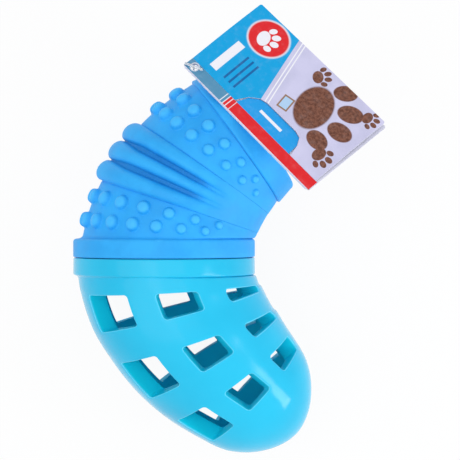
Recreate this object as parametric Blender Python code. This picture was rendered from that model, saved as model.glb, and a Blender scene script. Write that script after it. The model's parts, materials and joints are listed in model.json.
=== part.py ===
# Curved chew toy for a dog, lying on its side: a soft rubber sleeve with ribs and nubs is snapped
# over the neck of a hard barred cage, and a folded card tag hangs on a plastic pin at its mouth.
# Everything is in metres with +Z up. X and Y span the plane that the toy curves in.
import math

import bmesh
import bpy
from mathutils import Matrix, Vector

MM = 0.001

# Joint between the two halves, round the Y axis
BAND_RADIUS = 34.2 * MM
SLEEVE_BAND_HEIGHT = 7.0 * MM
CAGE_BAND_HEIGHT = 6.6 * MM
BAND_ROUNDING = 0.9 * MM
SEAM_GAP = 0.4 * MM
SLEEVE_BAND_WALL = 4.2 * MM
NECK_CLEARANCE = 0.35 * MM
NECK_HEIGHT = 6.0 * MM
BEAD_HEIGHT_ON_NECK = 3.6 * MM
BEAD_HALF_WIDTH = 1.0 * MM
BEAD_FLAT_SHARE = 0.35
BEAD_DEPTH = 0.9 * MM
TWIST_AT_REST = 5.4

# Walls
SLEEVE_WALL = 4.4 * MM
CAGE_WALL = 6.8 * MM

# Rings of each half away from the seam: across (X), away from the seam (Y), lean in degrees,
# and how much smaller than the band the ring's radius is
SLEEVE_RING_SIZES = [
    (1.8 * MM, 7.6 * MM, 0.0, 1.7 * MM),
    (3.4 * MM, 13.2 * MM, 9.0, 2.4 * MM),
    (5.9 * MM, 19.0 * MM, 18.5, 3.3 * MM),
    (10.2 * MM, 26.4 * MM, 26.5, 4.1 * MM),
    (15.2 * MM, 33.0 * MM, 35.0, 5.0 * MM),
    (20.6 * MM, 38.3 * MM, 44.0, 6.0 * MM),
    (26.6 * MM, 43.2 * MM, 54.0, 7.1 * MM),
]
CAGE_RING_SIZES = [
    (1.2 * MM, 7.4 * MM, 0.0, 0.6 * MM),
    (2.3 * MM, 12.0 * MM, 3.1, 0.6 * MM),
    (5.4 * MM, 19.9 * MM, 14.3, 1.4 * MM),
    (11.0 * MM, 29.4 * MM, 18.6, 2.3 * MM),
    (17.6 * MM, 37.2 * MM, 31.9, 4.1 * MM),
    (24.8 * MM, 44.8 * MM, 36.7, 6.1 * MM),
    (33.2 * MM, 51.2 * MM, 47.8, 8.9 * MM),
]
SLEEVE_RINGS = [(x, y, lean, BAND_RADIUS - smaller) for x, y, lean, smaller in SLEEVE_RING_SIZES]
CAGE_RINGS = [(x, y, lean, BAND_RADIUS - smaller) for x, y, lean, smaller in CAGE_RING_SIZES]

# Collar and mouth of the sleeve
COLLAR_STEP = 0.9 * MM
COLLAR_STEP_RISE = 0.5 * MM
COLLAR_HEIGHT = 8.6 * MM
COLLAR_TAPER = 1.5 * MM
COLLAR_ROUNDING = 1.6 * MM
RIM_WIDTH = 3.2 * MM

# Ribs: fat rolls on the outside of the bend that die away towards its inside
RIB_COUNT = 3
RIB_HEIGHT = 3.7 * MM
RIB_GROOVE_FLOOR = 1.0 * MM
RIB_FADE = 1.4
RIB_ROUNDNESS = 0.75
RIB_FIRST_RING = 2
RIB_LAST_RING = 4

# Nubs: rows of round knobs. For each row its ring, how many go round, the angle of one of them, and
# how far from the inside of the bend the skin is bare
NUB_ROW_RING = [0.62, 1.45, 4.72, 5.43]
NUB_ROW_COUNT = [23, 21, 22, 20]
NUB_ROW_ANGLE = [83.0, 88.0, 85.0, 89.0]
NUB_ROW_BARE_ANGLE = [60.0, 50.0, 44.0, 50.0]
NUB_RADIUS_INNER = 0.9 * MM
NUB_RADIUS_OUTER = 3.0 * MM
NUB_FADE = 0.8
NUB_SIDE_COUNT = 8
# Height and width at each level of a nub, as shares of its radius
NUB_LEVELS = [(-0.5, 0.9), (0.45, 0.9), (0.86, 0.5)]

# Closed end of the cage
TIP_LENGTH = 23.8 * MM
TIP_FULLNESS = 1.55
TIP_ROUNDNESS = 1.8

# Windows of the cage: rows between two rings, columns by angle from the outside of the bend, and
# how many degrees the windows of each column are wide
WINDOW_ROWS = [(1, 2), (3, 4), (5, 6)]
WINDOW_COLUMNS = [42.0, 91.0, 140.5, 219.5, 269.0, 318.0]
WINDOW_ARCS = [35.0, 26.0, 35.0, 35.0, 26.0, 35.0]
WINDOW_CORNER = 2.2 * MM
WINDOW_CORNER_STEP_COUNT = 3
WINDOW_CUT_MARGIN = 3.0 * MM

# Card tag: two leaves and a spine with a tongue, folded from one sheet
CARD = 0.4 * MM
CARD_GAP = 0.35 * MM
TAG_LENGTH = 66.3 * MM
TAG_WIDTH = 38.1 * MM
TAG_FRONT_SHORTER = 0.8 * MM
SPINE_WIDTH = 4.8 * MM
TAG_TILT = 22.9
TAG_TURN = -48.7
LEAF_SPRING = 3.0
TAG_HOLE_RADIUS = 1.6 * MM
TAG_HOLE_FROM_FOLD = 3.0 * MM
TAG_HOLE_FROM_END = 3.3 * MM
TAG_HOLE_X = 11.7 * MM
TAG_HOLE_Y = 68.4 * MM
TONGUE_START = 20.6 * MM
TONGUE_LENGTH = 27.6 * MM
TONGUE_REACH = 7.6 * MM
TONGUE_CLEARANCE = 0.5 * MM
TONGUE_NEAR_CORNER = 5.0 * MM
TONGUE_FAR_CORNER = 3.0 * MM
TAG_HOLE_SIDE_COUNT = 16
TAG_CUT_REACH = 5.0 * MM

# Tag pin: bars at both ends of a thin stem that runs through the tag and the collar wall. Its head
# turns with the tag, so the stem is parted where the nylon twists
STEM_RADIUS = 0.35 * MM
BAR_RADIUS = 0.5 * MM
OUTER_BAR_LENGTH = 7.2 * MM
INNER_BAR_LENGTH = 7.2 * MM
BAR_ANGLE_ON_TAG = 25.0
STEM_OFF_CENTRE = 0.6 * MM
PIERCE_ANGLE = 35.0
PIERCE_CLEARANCE = 0.35 * MM
PIN_REST_GAP = 0.35 * MM
STEM_DROP = 1.7 * MM
SWIVEL_GAP = 0.3 * MM
STEM_STANDOFF = 1.4 * MM
STEM_BEND_STEP_COUNT = 6
PIERCE_CUT_OUTSIDE = 0.2 * MM
PIERCE_CUT_INSIDE = 2.0 * MM

# Fineness of the solids
SIDE_COUNT = 40
STEP_COUNT_BETWEEN_RINGS = 2
STEP_COUNT_PER_RIB = 5
TIP_STEP_COUNT = 6
EDGE_STEP_COUNT = 2
STEM_SIDE_COUNT = 6
BAR_SIDE_COUNT = 8
SHARP_ANGLE = 40.0

UP = 1
DOWN = -1


def remove_everything():
    for old in list(bpy.data.objects):
        bpy.data.objects.remove(old, do_unlink=True)


def material(name, colour, roughness):
    made = bpy.data.materials.new(name)
    made.use_nodes = True
    shader = made.node_tree.nodes["Principled BSDF"]
    shader.inputs["Base Color"].default_value = (*colour, 1.0)
    shader.inputs["Roughness"].default_value = roughness
    made.diffuse_color = (*colour, 1.0)
    return made


def smooth_between(rings, position):
    """The ring at a fractional position in a list of rings, on a curve through all of them."""
    last = len(rings) - 1
    index = min(int(position), last - 1)
    part = position - index
    before = rings[max(index - 1, 0)]
    start = rings[index]
    end = rings[index + 1]
    after = rings[min(index + 2, last)]
    values = []
    for a, b, c, d in zip(before, start, end, after):
        slope_b = (c - a) / 2 if index > 0 else c - b
        slope_c = (d - b) / 2 if index < last - 1 else c - b
        square = part * part
        cube = square * part
        values.append(
            (2 * cube - 3 * square + 1) * b
            + (cube - 2 * square + part) * slope_b
            + (3 * square - 2 * cube) * c
            + (cube - square) * slope_c
        )
    return values


def inward(lean, side):
    """Direction across a ring from the outside of the bend to its inside."""
    angle = math.radians(lean)
    return Vector((math.cos(angle), -side * math.sin(angle), 0.0))


def along(lean, side):
    """Direction through a ring, away from the seam."""
    angle = math.radians(lean)
    return Vector((math.sin(angle), side * math.cos(angle), 0.0))


def ring_point(ring, angle, side):
    """A point on a ring. Angle 0 is the outside of the bend, 90 faces up, 180 the inside."""
    x, y, lean, radius = ring
    turn = math.radians(angle)
    centre = Vector((x, side * y, 0.0))
    return centre + radius * (Vector((0, 0, math.sin(turn))) - inward(lean, side) * math.cos(turn))


def ring_points(ring, side, swell=None):
    points = []
    for step in range(SIDE_COUNT):
        angle = 360.0 * step / SIDE_COUNT
        x, y, lean, radius = ring
        extra = swell(angle) if swell else 0.0
        points.append(ring_point((x, y, lean, radius + extra), angle, side))
    return points


def moved_along(ring, distance, widening):
    """The ring shifted straight along its own axis and made wider or narrower."""
    x, y, lean, radius = ring
    way = along(lean, UP)
    return (x + way.x * distance, y + way.y * distance, lean, radius + widening)


def outside_share(angle):
    """1 on the outside of the bend, 0 on its inside."""
    return 0.5 + 0.5 * math.cos(math.radians(angle))


def finished(name, mesh, surface=None, smooth=True):
    """Turn a mesh under construction into an object with its faces outward."""
    bmesh.ops.recalc_face_normals(mesh, faces=mesh.faces)
    data = bpy.data.meshes.new(name)
    mesh.to_mesh(data)
    mesh.free()
    if smooth:
        data.shade_smooth()
        data.set_sharp_from_angle(angle=math.radians(SHARP_ANGLE))
    made = bpy.data.objects.new(name, data)
    bpy.context.collection.objects.link(made)
    if surface:
        data.materials.append(surface)
    return made


def walled(mesh, loops):
    """Join loops of new corners, each to the next, and return their rows of corners."""
    rows = [[mesh.verts.new(point) for point in loop] for loop in loops]
    for low, high in zip(rows, rows[1:]):
        for step in range(len(low)):
            following = (step + 1) % len(low)
            mesh.faces.new((low[step], low[following], high[following], high[step]))
    return rows


def capped(mesh, loops):
    """A body with a flat cap at each end, added to a mesh."""
    rows = walled(mesh, loops)
    mesh.faces.new(list(reversed(rows[0])))
    mesh.faces.new(rows[-1])


def skin(name, loops, surface):
    """A closed mesh from loops that follow each other: a pole at both ends, or round to the first."""
    mesh = bmesh.new()
    poles = len(loops[0]) == 1
    rows = walled(mesh, loops[1:-1] if poles else loops)
    for step in range(SIDE_COUNT):
        following = (step + 1) % SIDE_COUNT
        if not poles:
            mesh.faces.new((rows[-1][step], rows[-1][following], rows[0][following], rows[0][step]))
    if poles:
        for point, row in ((loops[0][0], rows[0]), (loops[-1][0], rows[-1])):
            pole = mesh.verts.new(point)
            for step in range(SIDE_COUNT):
                mesh.faces.new((row[step], row[(step + 1) % SIDE_COUNT], pole))
    return finished(name, mesh, surface)


def boolean(target, cutter, operation):
    """Cut or join, with the cutter kept out of the model."""
    modifier = target.modifiers.new(cutter.name, "BOOLEAN")
    modifier.operation = operation
    modifier.solver = "EXACT"
    modifier.use_self = True
    modifier.object = cutter
    cutter.hide_render = True
    cutter.display_type = "WIRE"


def rounded_edge(ring, inward_step, side_step, steps):
    """Rings round a quarter circle, from the full radius to the end face."""
    rings = []
    for step in range(1, steps + 1):
        turn = math.pi / 2 * step / steps
        narrowing = inward_step * (1 - math.cos(turn))
        rings.append(moved_along(ring, side_step * math.sin(turn), -narrowing))
    return rings


def band_rings(height):
    """Outer rings of one band, from the seam outwards, with both edges rounded."""
    low = SEAM_GAP / 2
    lower = (0.0, low + BAND_ROUNDING, 0.0, BAND_RADIUS)
    upper = (0.0, height - BAND_ROUNDING, 0.0, BAND_RADIUS)
    rings = list(reversed(rounded_edge(lower, BAND_ROUNDING, -BAND_ROUNDING, EDGE_STEP_COUNT)))
    rings += [lower, upper]
    rings += rounded_edge(upper, BAND_ROUNDING, BAND_ROUNDING, EDGE_STEP_COUNT)
    return rings


def rib_swell(position):
    """How far the ribs stand out at a place between the first and the last ribbed ring."""
    share = (position - RIB_FIRST_RING) / (RIB_LAST_RING - RIB_FIRST_RING)
    roll = abs(math.sin(math.pi * RIB_COUNT * share)) ** RIB_ROUNDNESS
    height = RIB_GROOVE_FLOOR + (RIB_HEIGHT - RIB_GROOVE_FLOOR) * roll

    def swell(angle):
        return height * outside_share(angle) ** RIB_FADE

    return swell


def sleeve_outer_positions():
    """Fractional ring positions of the outer skin: fine on the ribs, coarse elsewhere."""
    positions = []
    for index in range(len(SLEEVE_RINGS) - 1):
        if RIB_FIRST_RING <= index < RIB_LAST_RING:
            continue
        positions += [index + step / STEP_COUNT_BETWEEN_RINGS for step in range(STEP_COUNT_BETWEEN_RINGS)]
    rib_steps = RIB_COUNT * STEP_COUNT_PER_RIB
    rib_span = RIB_LAST_RING - RIB_FIRST_RING
    positions += [RIB_FIRST_RING + rib_span * step / rib_steps for step in range(rib_steps)]
    positions.append(len(SLEEVE_RINGS) - 1)
    return sorted(set(positions))


def collar_foot():
    x, y, lean, radius = SLEEVE_RINGS[-1]
    return (x, y, lean, radius + COLLAR_STEP)


def collar_top():
    """The ring where the mouth's flat rim lies, at the full outer radius."""
    return moved_along(collar_foot(), COLLAR_HEIGHT, -COLLAR_TAPER)


def neck_radius():
    return BAND_RADIUS - SLEEVE_BAND_WALL - NECK_CLEARANCE


def bead_rings(radius, depth, half_width):
    """Rings round the snap bead, or its groove, from the seam outwards."""
    middle = BEAD_HEIGHT_ON_NECK
    flat = half_width * BEAD_FLAT_SHARE
    return [
        (0.0, middle - half_width, 0.0, radius),
        (0.0, middle - flat, 0.0, radius + depth),
        (0.0, middle + flat, 0.0, radius + depth),
        (0.0, middle + half_width, 0.0, radius),
    ]


def nub_loops(ring, angle):
    """Rows of corners of one nub, which stands on a ring of the sleeve at the given angle."""
    share = outside_share(angle) ** NUB_FADE
    radius = NUB_RADIUS_INNER + (NUB_RADIUS_OUTER - NUB_RADIUS_INNER) * share
    foot = ring_point(ring, angle, UP)
    out = (foot - Vector((ring[0], ring[1], 0.0))).normalized()
    sideways = along(ring[2], UP)
    third = out.cross(sideways)
    loops = []
    for height, width in NUB_LEVELS:
        loop = []
        for step in range(NUB_SIDE_COUNT):
            turn = 2 * math.pi * (step + 0.5) / NUB_SIDE_COUNT
            flat = sideways * math.cos(turn) + third * math.sin(turn)
            loop.append(foot + out * height * radius + flat * width * radius)
        loops.append(loop)
    return loops


def nub_group():
    """All nubs as one group of low domes that are sunk into the sleeve's skin."""
    mesh = bmesh.new()
    rows = zip(NUB_ROW_RING, NUB_ROW_COUNT, NUB_ROW_ANGLE, NUB_ROW_BARE_ANGLE)
    for position, count, first_angle, bare_angle in rows:
        ring = smooth_between(SLEEVE_RINGS, position)
        for index in range(count):
            angle = (first_angle + 360.0 * index / count) % 360.0
            if abs(angle - 180.0) >= bare_angle:
                capped(mesh, nub_loops(ring, angle))
    return finished("nubs", mesh)


def rubber_sleeve(surface):
    """Ribbed and nubbed sleeve: one loop of rings round its outer skin, rim and bore."""
    rings = [(ring, None) for ring in band_rings(SLEEVE_BAND_HEIGHT)]
    for position in sleeve_outer_positions():
        ring = smooth_between(SLEEVE_RINGS, position)
        ribbed = RIB_FIRST_RING < position < RIB_LAST_RING
        rings.append((ring, rib_swell(position) if ribbed else None))
    foot = collar_foot()
    top = collar_top()
    shoulder = moved_along(top, -COLLAR_ROUNDING, 0.0)
    rings.append((moved_along(foot, COLLAR_STEP_RISE, 0.0), None))
    rings.append((shoulder, None))
    edge = rounded_edge(shoulder, COLLAR_ROUNDING, COLLAR_ROUNDING, EDGE_STEP_COUNT)
    rings += [(ring, None) for ring in edge]
    mouth_radius = top[3] - COLLAR_ROUNDING - RIM_WIDTH
    rings.append(((top[0], top[1], top[2], mouth_radius), None))
    for position in range(len(SLEEVE_RINGS) - 1, -1, -1):
        x, y, lean, radius = SLEEVE_RINGS[position]
        rings.append(((x, y, lean, radius - SLEEVE_WALL), None))
    socket = neck_radius() + NECK_CLEARANCE
    socket_end = NECK_HEIGHT + NECK_CLEARANCE
    rings.append(((0.0, socket_end, 0.0, SLEEVE_RINGS[0][3] - SLEEVE_WALL), None))
    rings.append(((0.0, socket_end, 0.0, socket), None))
    groove = bead_rings(socket, BEAD_DEPTH, BEAD_HALF_WIDTH + NECK_CLEARANCE)
    rings += [(ring, None) for ring in reversed(groove)]
    rings.append(((0.0, SEAM_GAP / 2, 0.0, socket), None))
    loops = [ring_points(ring, UP, swell) for ring, swell in rings]
    sleeve = skin("rubber_sleeve", loops, surface)
    boolean(sleeve, nub_group(), "UNION")
    return sleeve


def tip_rings(wall):
    """Rings of the rounded closed end, for the outer skin (wall 0) or the inner one."""
    base = CAGE_RINGS[-1]
    rings = []
    for step in range(1, TIP_STEP_COUNT):
        share = math.sin(math.pi / 2 * step / TIP_STEP_COUNT)
        width = (1 - share ** TIP_FULLNESS) ** (1 / TIP_ROUNDNESS)
        radius = (base[3] - wall) * width
        ring = moved_along(base, (TIP_LENGTH - wall) * share, 0.0)
        rings.append((ring[0], ring[1], ring[2], radius))
    return rings


def cage_body(surface):
    """Outer skin from the tip to the seam, round the neck, and back up the inner skin."""
    base = CAGE_RINGS[-1]
    outer_pole = moved_along(base, TIP_LENGTH, 0.0)
    inner_pole = moved_along(base, TIP_LENGTH - CAGE_WALL, 0.0)
    spans = (len(CAGE_RINGS) - 1) * STEP_COUNT_BETWEEN_RINGS
    positions = [0.0] + [(step + 0.5) / STEP_COUNT_BETWEEN_RINGS for step in range(spans)]
    outer = [smooth_between(CAGE_RINGS, position) for position in positions]
    inner = [(x, y, lean, radius - CAGE_WALL) for x, y, lean, radius in outer]
    bore = BAND_RADIUS - CAGE_WALL
    rings = list(reversed(tip_rings(0.0))) + list(reversed(outer))
    rings += list(reversed(band_rings(CAGE_BAND_HEIGHT)))
    neck = neck_radius()
    rings.append((0.0, SEAM_GAP / 2, 0.0, neck))
    bead = bead_rings(neck, BEAD_DEPTH, BEAD_HALF_WIDTH)
    rings += [(x, -y, lean, radius) for x, y, lean, radius in bead]
    rings.append((0.0, -NECK_HEIGHT, 0.0, neck))
    rings.append((0.0, -NECK_HEIGHT, 0.0, bore))
    rings += inner + tip_rings(CAGE_WALL)
    loops = [[Vector((outer_pole[0], -outer_pole[1], 0.0))]]
    loops += [ring_points(ring, DOWN) for ring in rings]
    loops.append([Vector((inner_pole[0], -inner_pole[1], 0.0))])
    return skin("cage_shell", loops, surface)


def window_outline(column, arc, low, high):
    """Rounded outline of one window: pairs of ring position and angle, corner by corner."""
    middle = smooth_between(CAGE_RINGS, (low + high) / 2)
    corner_angle = math.degrees(WINDOW_CORNER / middle[3])
    lower = smooth_between(CAGE_RINGS, low)
    upper = smooth_between(CAGE_RINGS, high)
    height = (ring_point(upper, column, DOWN) - ring_point(lower, column, DOWN)).length
    corner_position = WINDOW_CORNER / height * (high - low)
    half = arc / 2
    corners = [
        (low, -1, half, 1, 0),
        (high, 1, half, 1, 90),
        (high, 1, -half, -1, 180),
        (low, -1, -half, -1, 270),
    ]
    outline = []
    for position, position_side, angle, angle_side, first_turn in corners:
        for step in range(WINDOW_CORNER_STEP_COUNT + 1):
            turn = math.radians(first_turn + 90 * step / WINDOW_CORNER_STEP_COUNT)
            along_share = -math.cos(turn)
            across_share = math.sin(turn)
            outline.append((
                position - position_side * corner_position + along_share * corner_position,
                column + angle - angle_side * corner_angle + across_share * corner_angle,
            ))
    return outline


def window_cutter():
    """All windows as one group of plugs that run radially through the wall."""
    mesh = bmesh.new()
    for low, high in WINDOW_ROWS:
        for column, arc in zip(WINDOW_COLUMNS, WINDOW_ARCS):
            outline = window_outline(column, arc, low, high)
            loops = []
            for margin in (WINDOW_CUT_MARGIN, -CAGE_WALL - WINDOW_CUT_MARGIN):
                loop = []
                for position, angle in outline:
                    x, y, lean, radius = smooth_between(CAGE_RINGS, position)
                    loop.append(ring_point((x, y, lean, radius + margin), angle, DOWN))
                loops.append(loop)
            rows = walled(mesh, loops)
            for row in rows:
                middle = mesh.verts.new(sum((vert.co for vert in row), Vector()) / len(row))
                for step in range(len(row)):
                    mesh.faces.new((row[(step + 1) % len(row)], row[step], middle))
    return finished("windows", mesh)


def cage_shell(surface):
    cage = cage_body(surface)
    windows = window_cutter()
    windows.parent = cage
    boolean(cage, windows, "DIFFERENCE")
    cage.rotation_euler = (0.0, math.radians(TWIST_AT_REST), 0.0)
    return cage


def tag_turn():
    """Rotation of the tag: X along its fold, Y across to its free edge, Z out of its face."""
    tilt = Matrix.Rotation(math.radians(-TAG_TILT), 4, "X")
    turn = Matrix.Rotation(math.radians(TAG_TURN), 4, "Z")
    return tilt @ turn


def tag_place():
    """Place of the stem's hole on the underside of the back leaf, resting on the collar."""
    rotation = tag_turn()
    normal = rotation @ Vector((0, 0, 1))
    collar = [collar_foot(), moved_along(collar_top(), -COLLAR_ROUNDING, 0.0)]
    highest = max(normal.dot(point) for ring in collar for point in ring_points(ring, UP))
    level = highest + CARD_GAP
    height = (level - normal.y * TAG_HOLE_Y - normal.x * TAG_HOLE_X) / normal.z
    return Matrix.Translation((TAG_HOLE_X, TAG_HOLE_Y, height)) @ rotation


def slab(name, outline, low, high, surface):
    """A flat plate with the given outline, between two heights."""
    mesh = bmesh.new()
    verts = [mesh.verts.new((x, y, low)) for x, y in outline]
    face = mesh.faces.new(verts)
    lifted = bmesh.ops.extrude_face_region(mesh, geom=[face])
    raised = [item for item in lifted["geom"] if isinstance(item, bmesh.types.BMVert)]
    bmesh.ops.translate(mesh, verts=raised, vec=(0, 0, high - low))
    return finished(name, mesh, surface, smooth=False)


def tongue_outline(extra):
    """Outline of the spine's rounded tongue from its near root to its far one, made larger by extra."""
    start = TONGUE_START - extra
    end = TONGUE_START + TONGUE_LENGTH + extra
    reach = TONGUE_REACH + extra
    near = [(0.0, 0.0), (0.35, 0.55), (1.0, 0.9), (1.6, 1.0)]
    far = [(1.6, 1.0), (0.7, 0.9), (0.1, 0.55), (0.0, 0.0)]
    outline = [(start + TONGUE_NEAR_CORNER * share, reach * height) for share, height in near]
    outline += [(end - TONGUE_FAR_CORNER * share, reach * height) for share, height in far]
    return outline


def tag_hole():
    """A round plug for the hole that the stem hangs in, a little off the stem's middle."""
    loops = []
    for height in (-TAG_CUT_REACH, TAG_CUT_REACH):
        loop = []
        for step in range(TAG_HOLE_SIDE_COUNT):
            turn = 2 * math.pi * step / TAG_HOLE_SIDE_COUNT
            x = TAG_HOLE_RADIUS * math.cos(turn)
            y = STEM_OFF_CENTRE + TAG_HOLE_RADIUS * math.sin(turn)
            loop.append(Vector((x, y, height)))
        loops.append(loop)
    mesh = bmesh.new()
    capped(mesh, loops)
    return finished("tag_hole", mesh)


def hang_tag(back_surface, spine_surface, front_surface):
    """Back leaf, spine with its tongue, and the sprung front leaf, each with its origin on its axis."""
    left = -TAG_HOLE_FROM_END
    right = left + TAG_LENGTH
    fold = STEM_OFF_CENTRE - TAG_HOLE_FROM_FOLD
    crease = fold + SPINE_WIDTH
    back = slab("tag_back_leaf", [
        (left, fold),
        (right, fold),
        (right, fold + TAG_WIDTH),
        (left, fold + TAG_WIDTH),
    ], 0.0, CARD, back_surface)

    spine_low = CARD + CARD_GAP
    spine_high = spine_low + CARD
    spine_side = crease - CARD_GAP
    tongue = [(left + x, crease + y) for x, y in tongue_outline(0.0)]
    spine = slab("tag_spine", [
        (right, fold),
        (right, spine_side),
        (tongue[-1][0], spine_side),
        *reversed(tongue[1:-1]),
        (tongue[0][0], spine_side),
        (left, spine_side),
        (left, fold),
    ], spine_low, spine_high, spine_surface)

    slot = [(left + x, y) for x, y in tongue_outline(TONGUE_CLEARANCE)]
    front_right = right - TAG_FRONT_SHORTER
    front = slab("tag_front_leaf", [
        (left, 0.0),
        *slot,
        (front_right, 0.0),
        (front_right, TAG_WIDTH - SPINE_WIDTH),
        (left, TAG_WIDTH - SPINE_WIDTH),
    ], -CARD, 0.0, front_surface)

    hole = tag_hole()
    for piece in (back, spine):
        boolean(piece, hole, "DIFFERENCE")
    place = tag_place()
    for piece in (back, spine, hole):
        piece.matrix_world = place
    opened = Matrix.Rotation(math.radians(LEAF_SPRING), 4, "X")
    front.matrix_world = place @ Matrix.Translation((0.0, crease, spine_high)) @ opened
    return back, spine, front


def tube(name, route, radius, sides, surface=None):
    """A round bar with flat ends along a route."""
    loops = []
    previous = None
    for index, point in enumerate(route):
        ahead = route[min(index + 1, len(route) - 1)] - route[max(index - 1, 0)]
        ahead.normalize()
        if previous is None:
            first = ahead.orthogonal().normalized()
        else:
            first = (previous - ahead * previous.dot(ahead)).normalized()
        second = ahead.cross(first)
        previous = first
        loop = []
        for step in range(sides):
            turn = 2 * math.pi * step / sides
            loop.append(point + radius * (first * math.cos(turn) + second * math.sin(turn)))
        loops.append(loop)
    mesh = bmesh.new()
    capped(mesh, loops)
    return finished(name, mesh, surface)


def bend(start, start_way, end, end_way, count):
    """Points on a smooth bend that leaves and arrives along the given directions."""
    strength = (end - start).length
    points = []
    for step in range(1, count):
        part = step / count
        square = part * part
        cube = square * part
        points.append(
            (2 * cube - 3 * square + 1) * start
            + (cube - 2 * square + part) * strength * start_way
            + (3 * square - 2 * cube) * end
            + (cube - square) * strength * end_way
        )
    return points


def pierce_ring():
    """The ring half way up the collar where the stem goes through the wall."""
    return moved_along(collar_foot(), COLLAR_HEIGHT / 2, -COLLAR_TAPER / 2)


def pin_bar(name, middle, way, length):
    return tube(name, [middle - way * length / 2, middle + way * length / 2], BAR_RADIUS, BAR_SIDE_COUNT)


def tag_pin_head(surface):
    """Outer bar with the stretch of stem that runs through the tag's hole."""
    bar_middle = Vector((0, 0, 2 * CARD + CARD_GAP + PIN_REST_GAP + BAR_RADIUS))
    stem_end = Vector((0, 0, SWIVEL_GAP - STEM_DROP))
    head = tube("tag_pin_head", [bar_middle, stem_end], STEM_RADIUS, STEM_SIDE_COUNT, surface)
    across_tag = Matrix.Rotation(math.radians(BAR_ANGLE_ON_TAG), 3, "Z") @ Vector((1, 0, 0))
    bar = pin_bar("outer_bar", bar_middle, across_tag, OUTER_BAR_LENGTH)
    for piece in (head, bar):
        piece.matrix_world = tag_place()
    boolean(head, bar, "UNION")
    return head


def anchor_route():
    """The stem's way from under the tag, round a bend and in through the collar."""
    place = tag_place()
    down = -(place.to_3x3() @ Vector((0, 0, 1)))
    start = place @ Vector((0, 0, -STEM_DROP))
    ring = pierce_ring()
    outer = ring_point(ring, PIERCE_ANGLE, UP)
    inwards = (Vector((ring[0], ring[1], 0.0)) - outer).normalized()
    before = outer - inwards * STEM_STANDOFF
    thickness = SLEEVE_WALL + COLLAR_STEP
    end = outer + inwards * (thickness + PIN_REST_GAP + BAR_RADIUS)
    route = [start, *bend(start, down, before, inwards, STEM_BEND_STEP_COUNT), before, end]
    return route, inwards


def tag_pin_anchor(surface):
    """The stem's stretch from under the tag to the bar that holds it inside the collar."""
    route, _ = anchor_route()
    anchor = tube("tag_pin_anchor", route, STEM_RADIUS, STEM_SIDE_COUNT, surface)
    through_mouth = along(pierce_ring()[2], UP)
    boolean(anchor, pin_bar("inner_bar", route[-1], through_mouth, INNER_BAR_LENGTH), "UNION")
    return anchor


def pierced_hole():
    """A plug for the small hole that the stem makes through the collar wall."""
    route, inwards = anchor_route()
    start = route[-2] - inwards * PIERCE_CUT_OUTSIDE
    end = route[-1] + inwards * PIERCE_CUT_INSIDE
    return tube("pierced_hole", [start, end], STEM_RADIUS + PIERCE_CLEARANCE, BAR_SIDE_COUNT)


def box_round(pieces):
    """Lowest and highest corner of the box round the finished pieces."""
    bpy.context.view_layer.update()
    graph = bpy.context.evaluated_depsgraph_get()
    points = []
    for piece in pieces:
        shape = piece.evaluated_get(graph)
        points += [shape.matrix_world @ vert.co for vert in shape.data.vertices]
    low = Vector([min(point[axis] for point in points) for axis in range(3)])
    high = Vector([max(point[axis] for point in points) for axis in range(3)])
    return low, high


def build():
    remove_everything()
    rubber = material("blue_rubber", (0.03, 0.33, 0.85), 0.55)
    plastic = material("cyan_plastic", (0.05, 0.55, 0.90), 0.25)
    card = material("white_card", (0.72, 0.72, 0.86), 0.45)
    spine_print = material("red_print", (0.75, 0.02, 0.02), 0.4)
    front_print = material("blue_print", (0.01, 0.40, 0.75), 0.4)
    nylon = material("clear_nylon", (0.85, 0.87, 0.9), 0.3)

    sleeve = rubber_sleeve(rubber)
    boolean(sleeve, pierced_hole(), "DIFFERENCE")
    cage = cage_shell(plastic)
    tag = hang_tag(card, spine_print, front_print)
    pieces = [sleeve, cage, *tag, tag_pin_head(nylon), tag_pin_anchor(nylon)]

    low, high = box_round(pieces)
    toy = bpy.data.objects.new("toy_frame", None)
    for item in bpy.data.objects:
        if item.parent is None and item is not toy:
            item.parent = toy
    bpy.context.collection.objects.link(toy)
    toy.location = (-(low.x + high.x) / 2, -(low.y + high.y) / 2, -low.z)


build()
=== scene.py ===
# Looks of the curved chew toy: a rubber sleeve on a plastic cage, with a card tag on a nylon pin
# Sizes are in millimetres until a mesh is made
import json
import math
from functools import partial

import bmesh
import bpy
import numpy as np
from mathutils import Matrix, Vector
from mathutils.geometry import delaunay_2d_cdt


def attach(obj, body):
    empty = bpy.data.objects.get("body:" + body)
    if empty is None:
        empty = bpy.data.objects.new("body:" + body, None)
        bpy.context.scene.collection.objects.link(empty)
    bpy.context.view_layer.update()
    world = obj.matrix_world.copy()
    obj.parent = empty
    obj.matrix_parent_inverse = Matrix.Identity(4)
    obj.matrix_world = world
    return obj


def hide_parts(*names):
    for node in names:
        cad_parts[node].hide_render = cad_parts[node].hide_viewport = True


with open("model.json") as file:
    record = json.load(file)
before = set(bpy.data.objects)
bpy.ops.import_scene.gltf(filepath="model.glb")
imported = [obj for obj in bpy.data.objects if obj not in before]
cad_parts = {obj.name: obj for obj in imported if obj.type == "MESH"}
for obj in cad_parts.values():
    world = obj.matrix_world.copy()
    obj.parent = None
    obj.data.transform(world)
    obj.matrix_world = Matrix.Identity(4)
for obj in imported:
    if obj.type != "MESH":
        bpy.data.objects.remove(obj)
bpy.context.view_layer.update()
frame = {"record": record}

MM = 0.001

# Joints by name, from the frame's record
JOINTS = {joint["name"]: joint for joint in frame["record"]["behaviour"]["joints"]}

# Seam between the halves: its centre, the cage's turn in degrees, then the sizes of band, neck and socket
SEAM_CENTRE = np.array(JOINTS["cage_twist"]["pos_m"]) / MM
CAGE_TWIST = 5.4
BAND_RADIUS = 34.19
SEAM_FACE = 0.12
NECK_RADIUS = 29.65
SOCKET_RADIUS = 30.0

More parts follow.
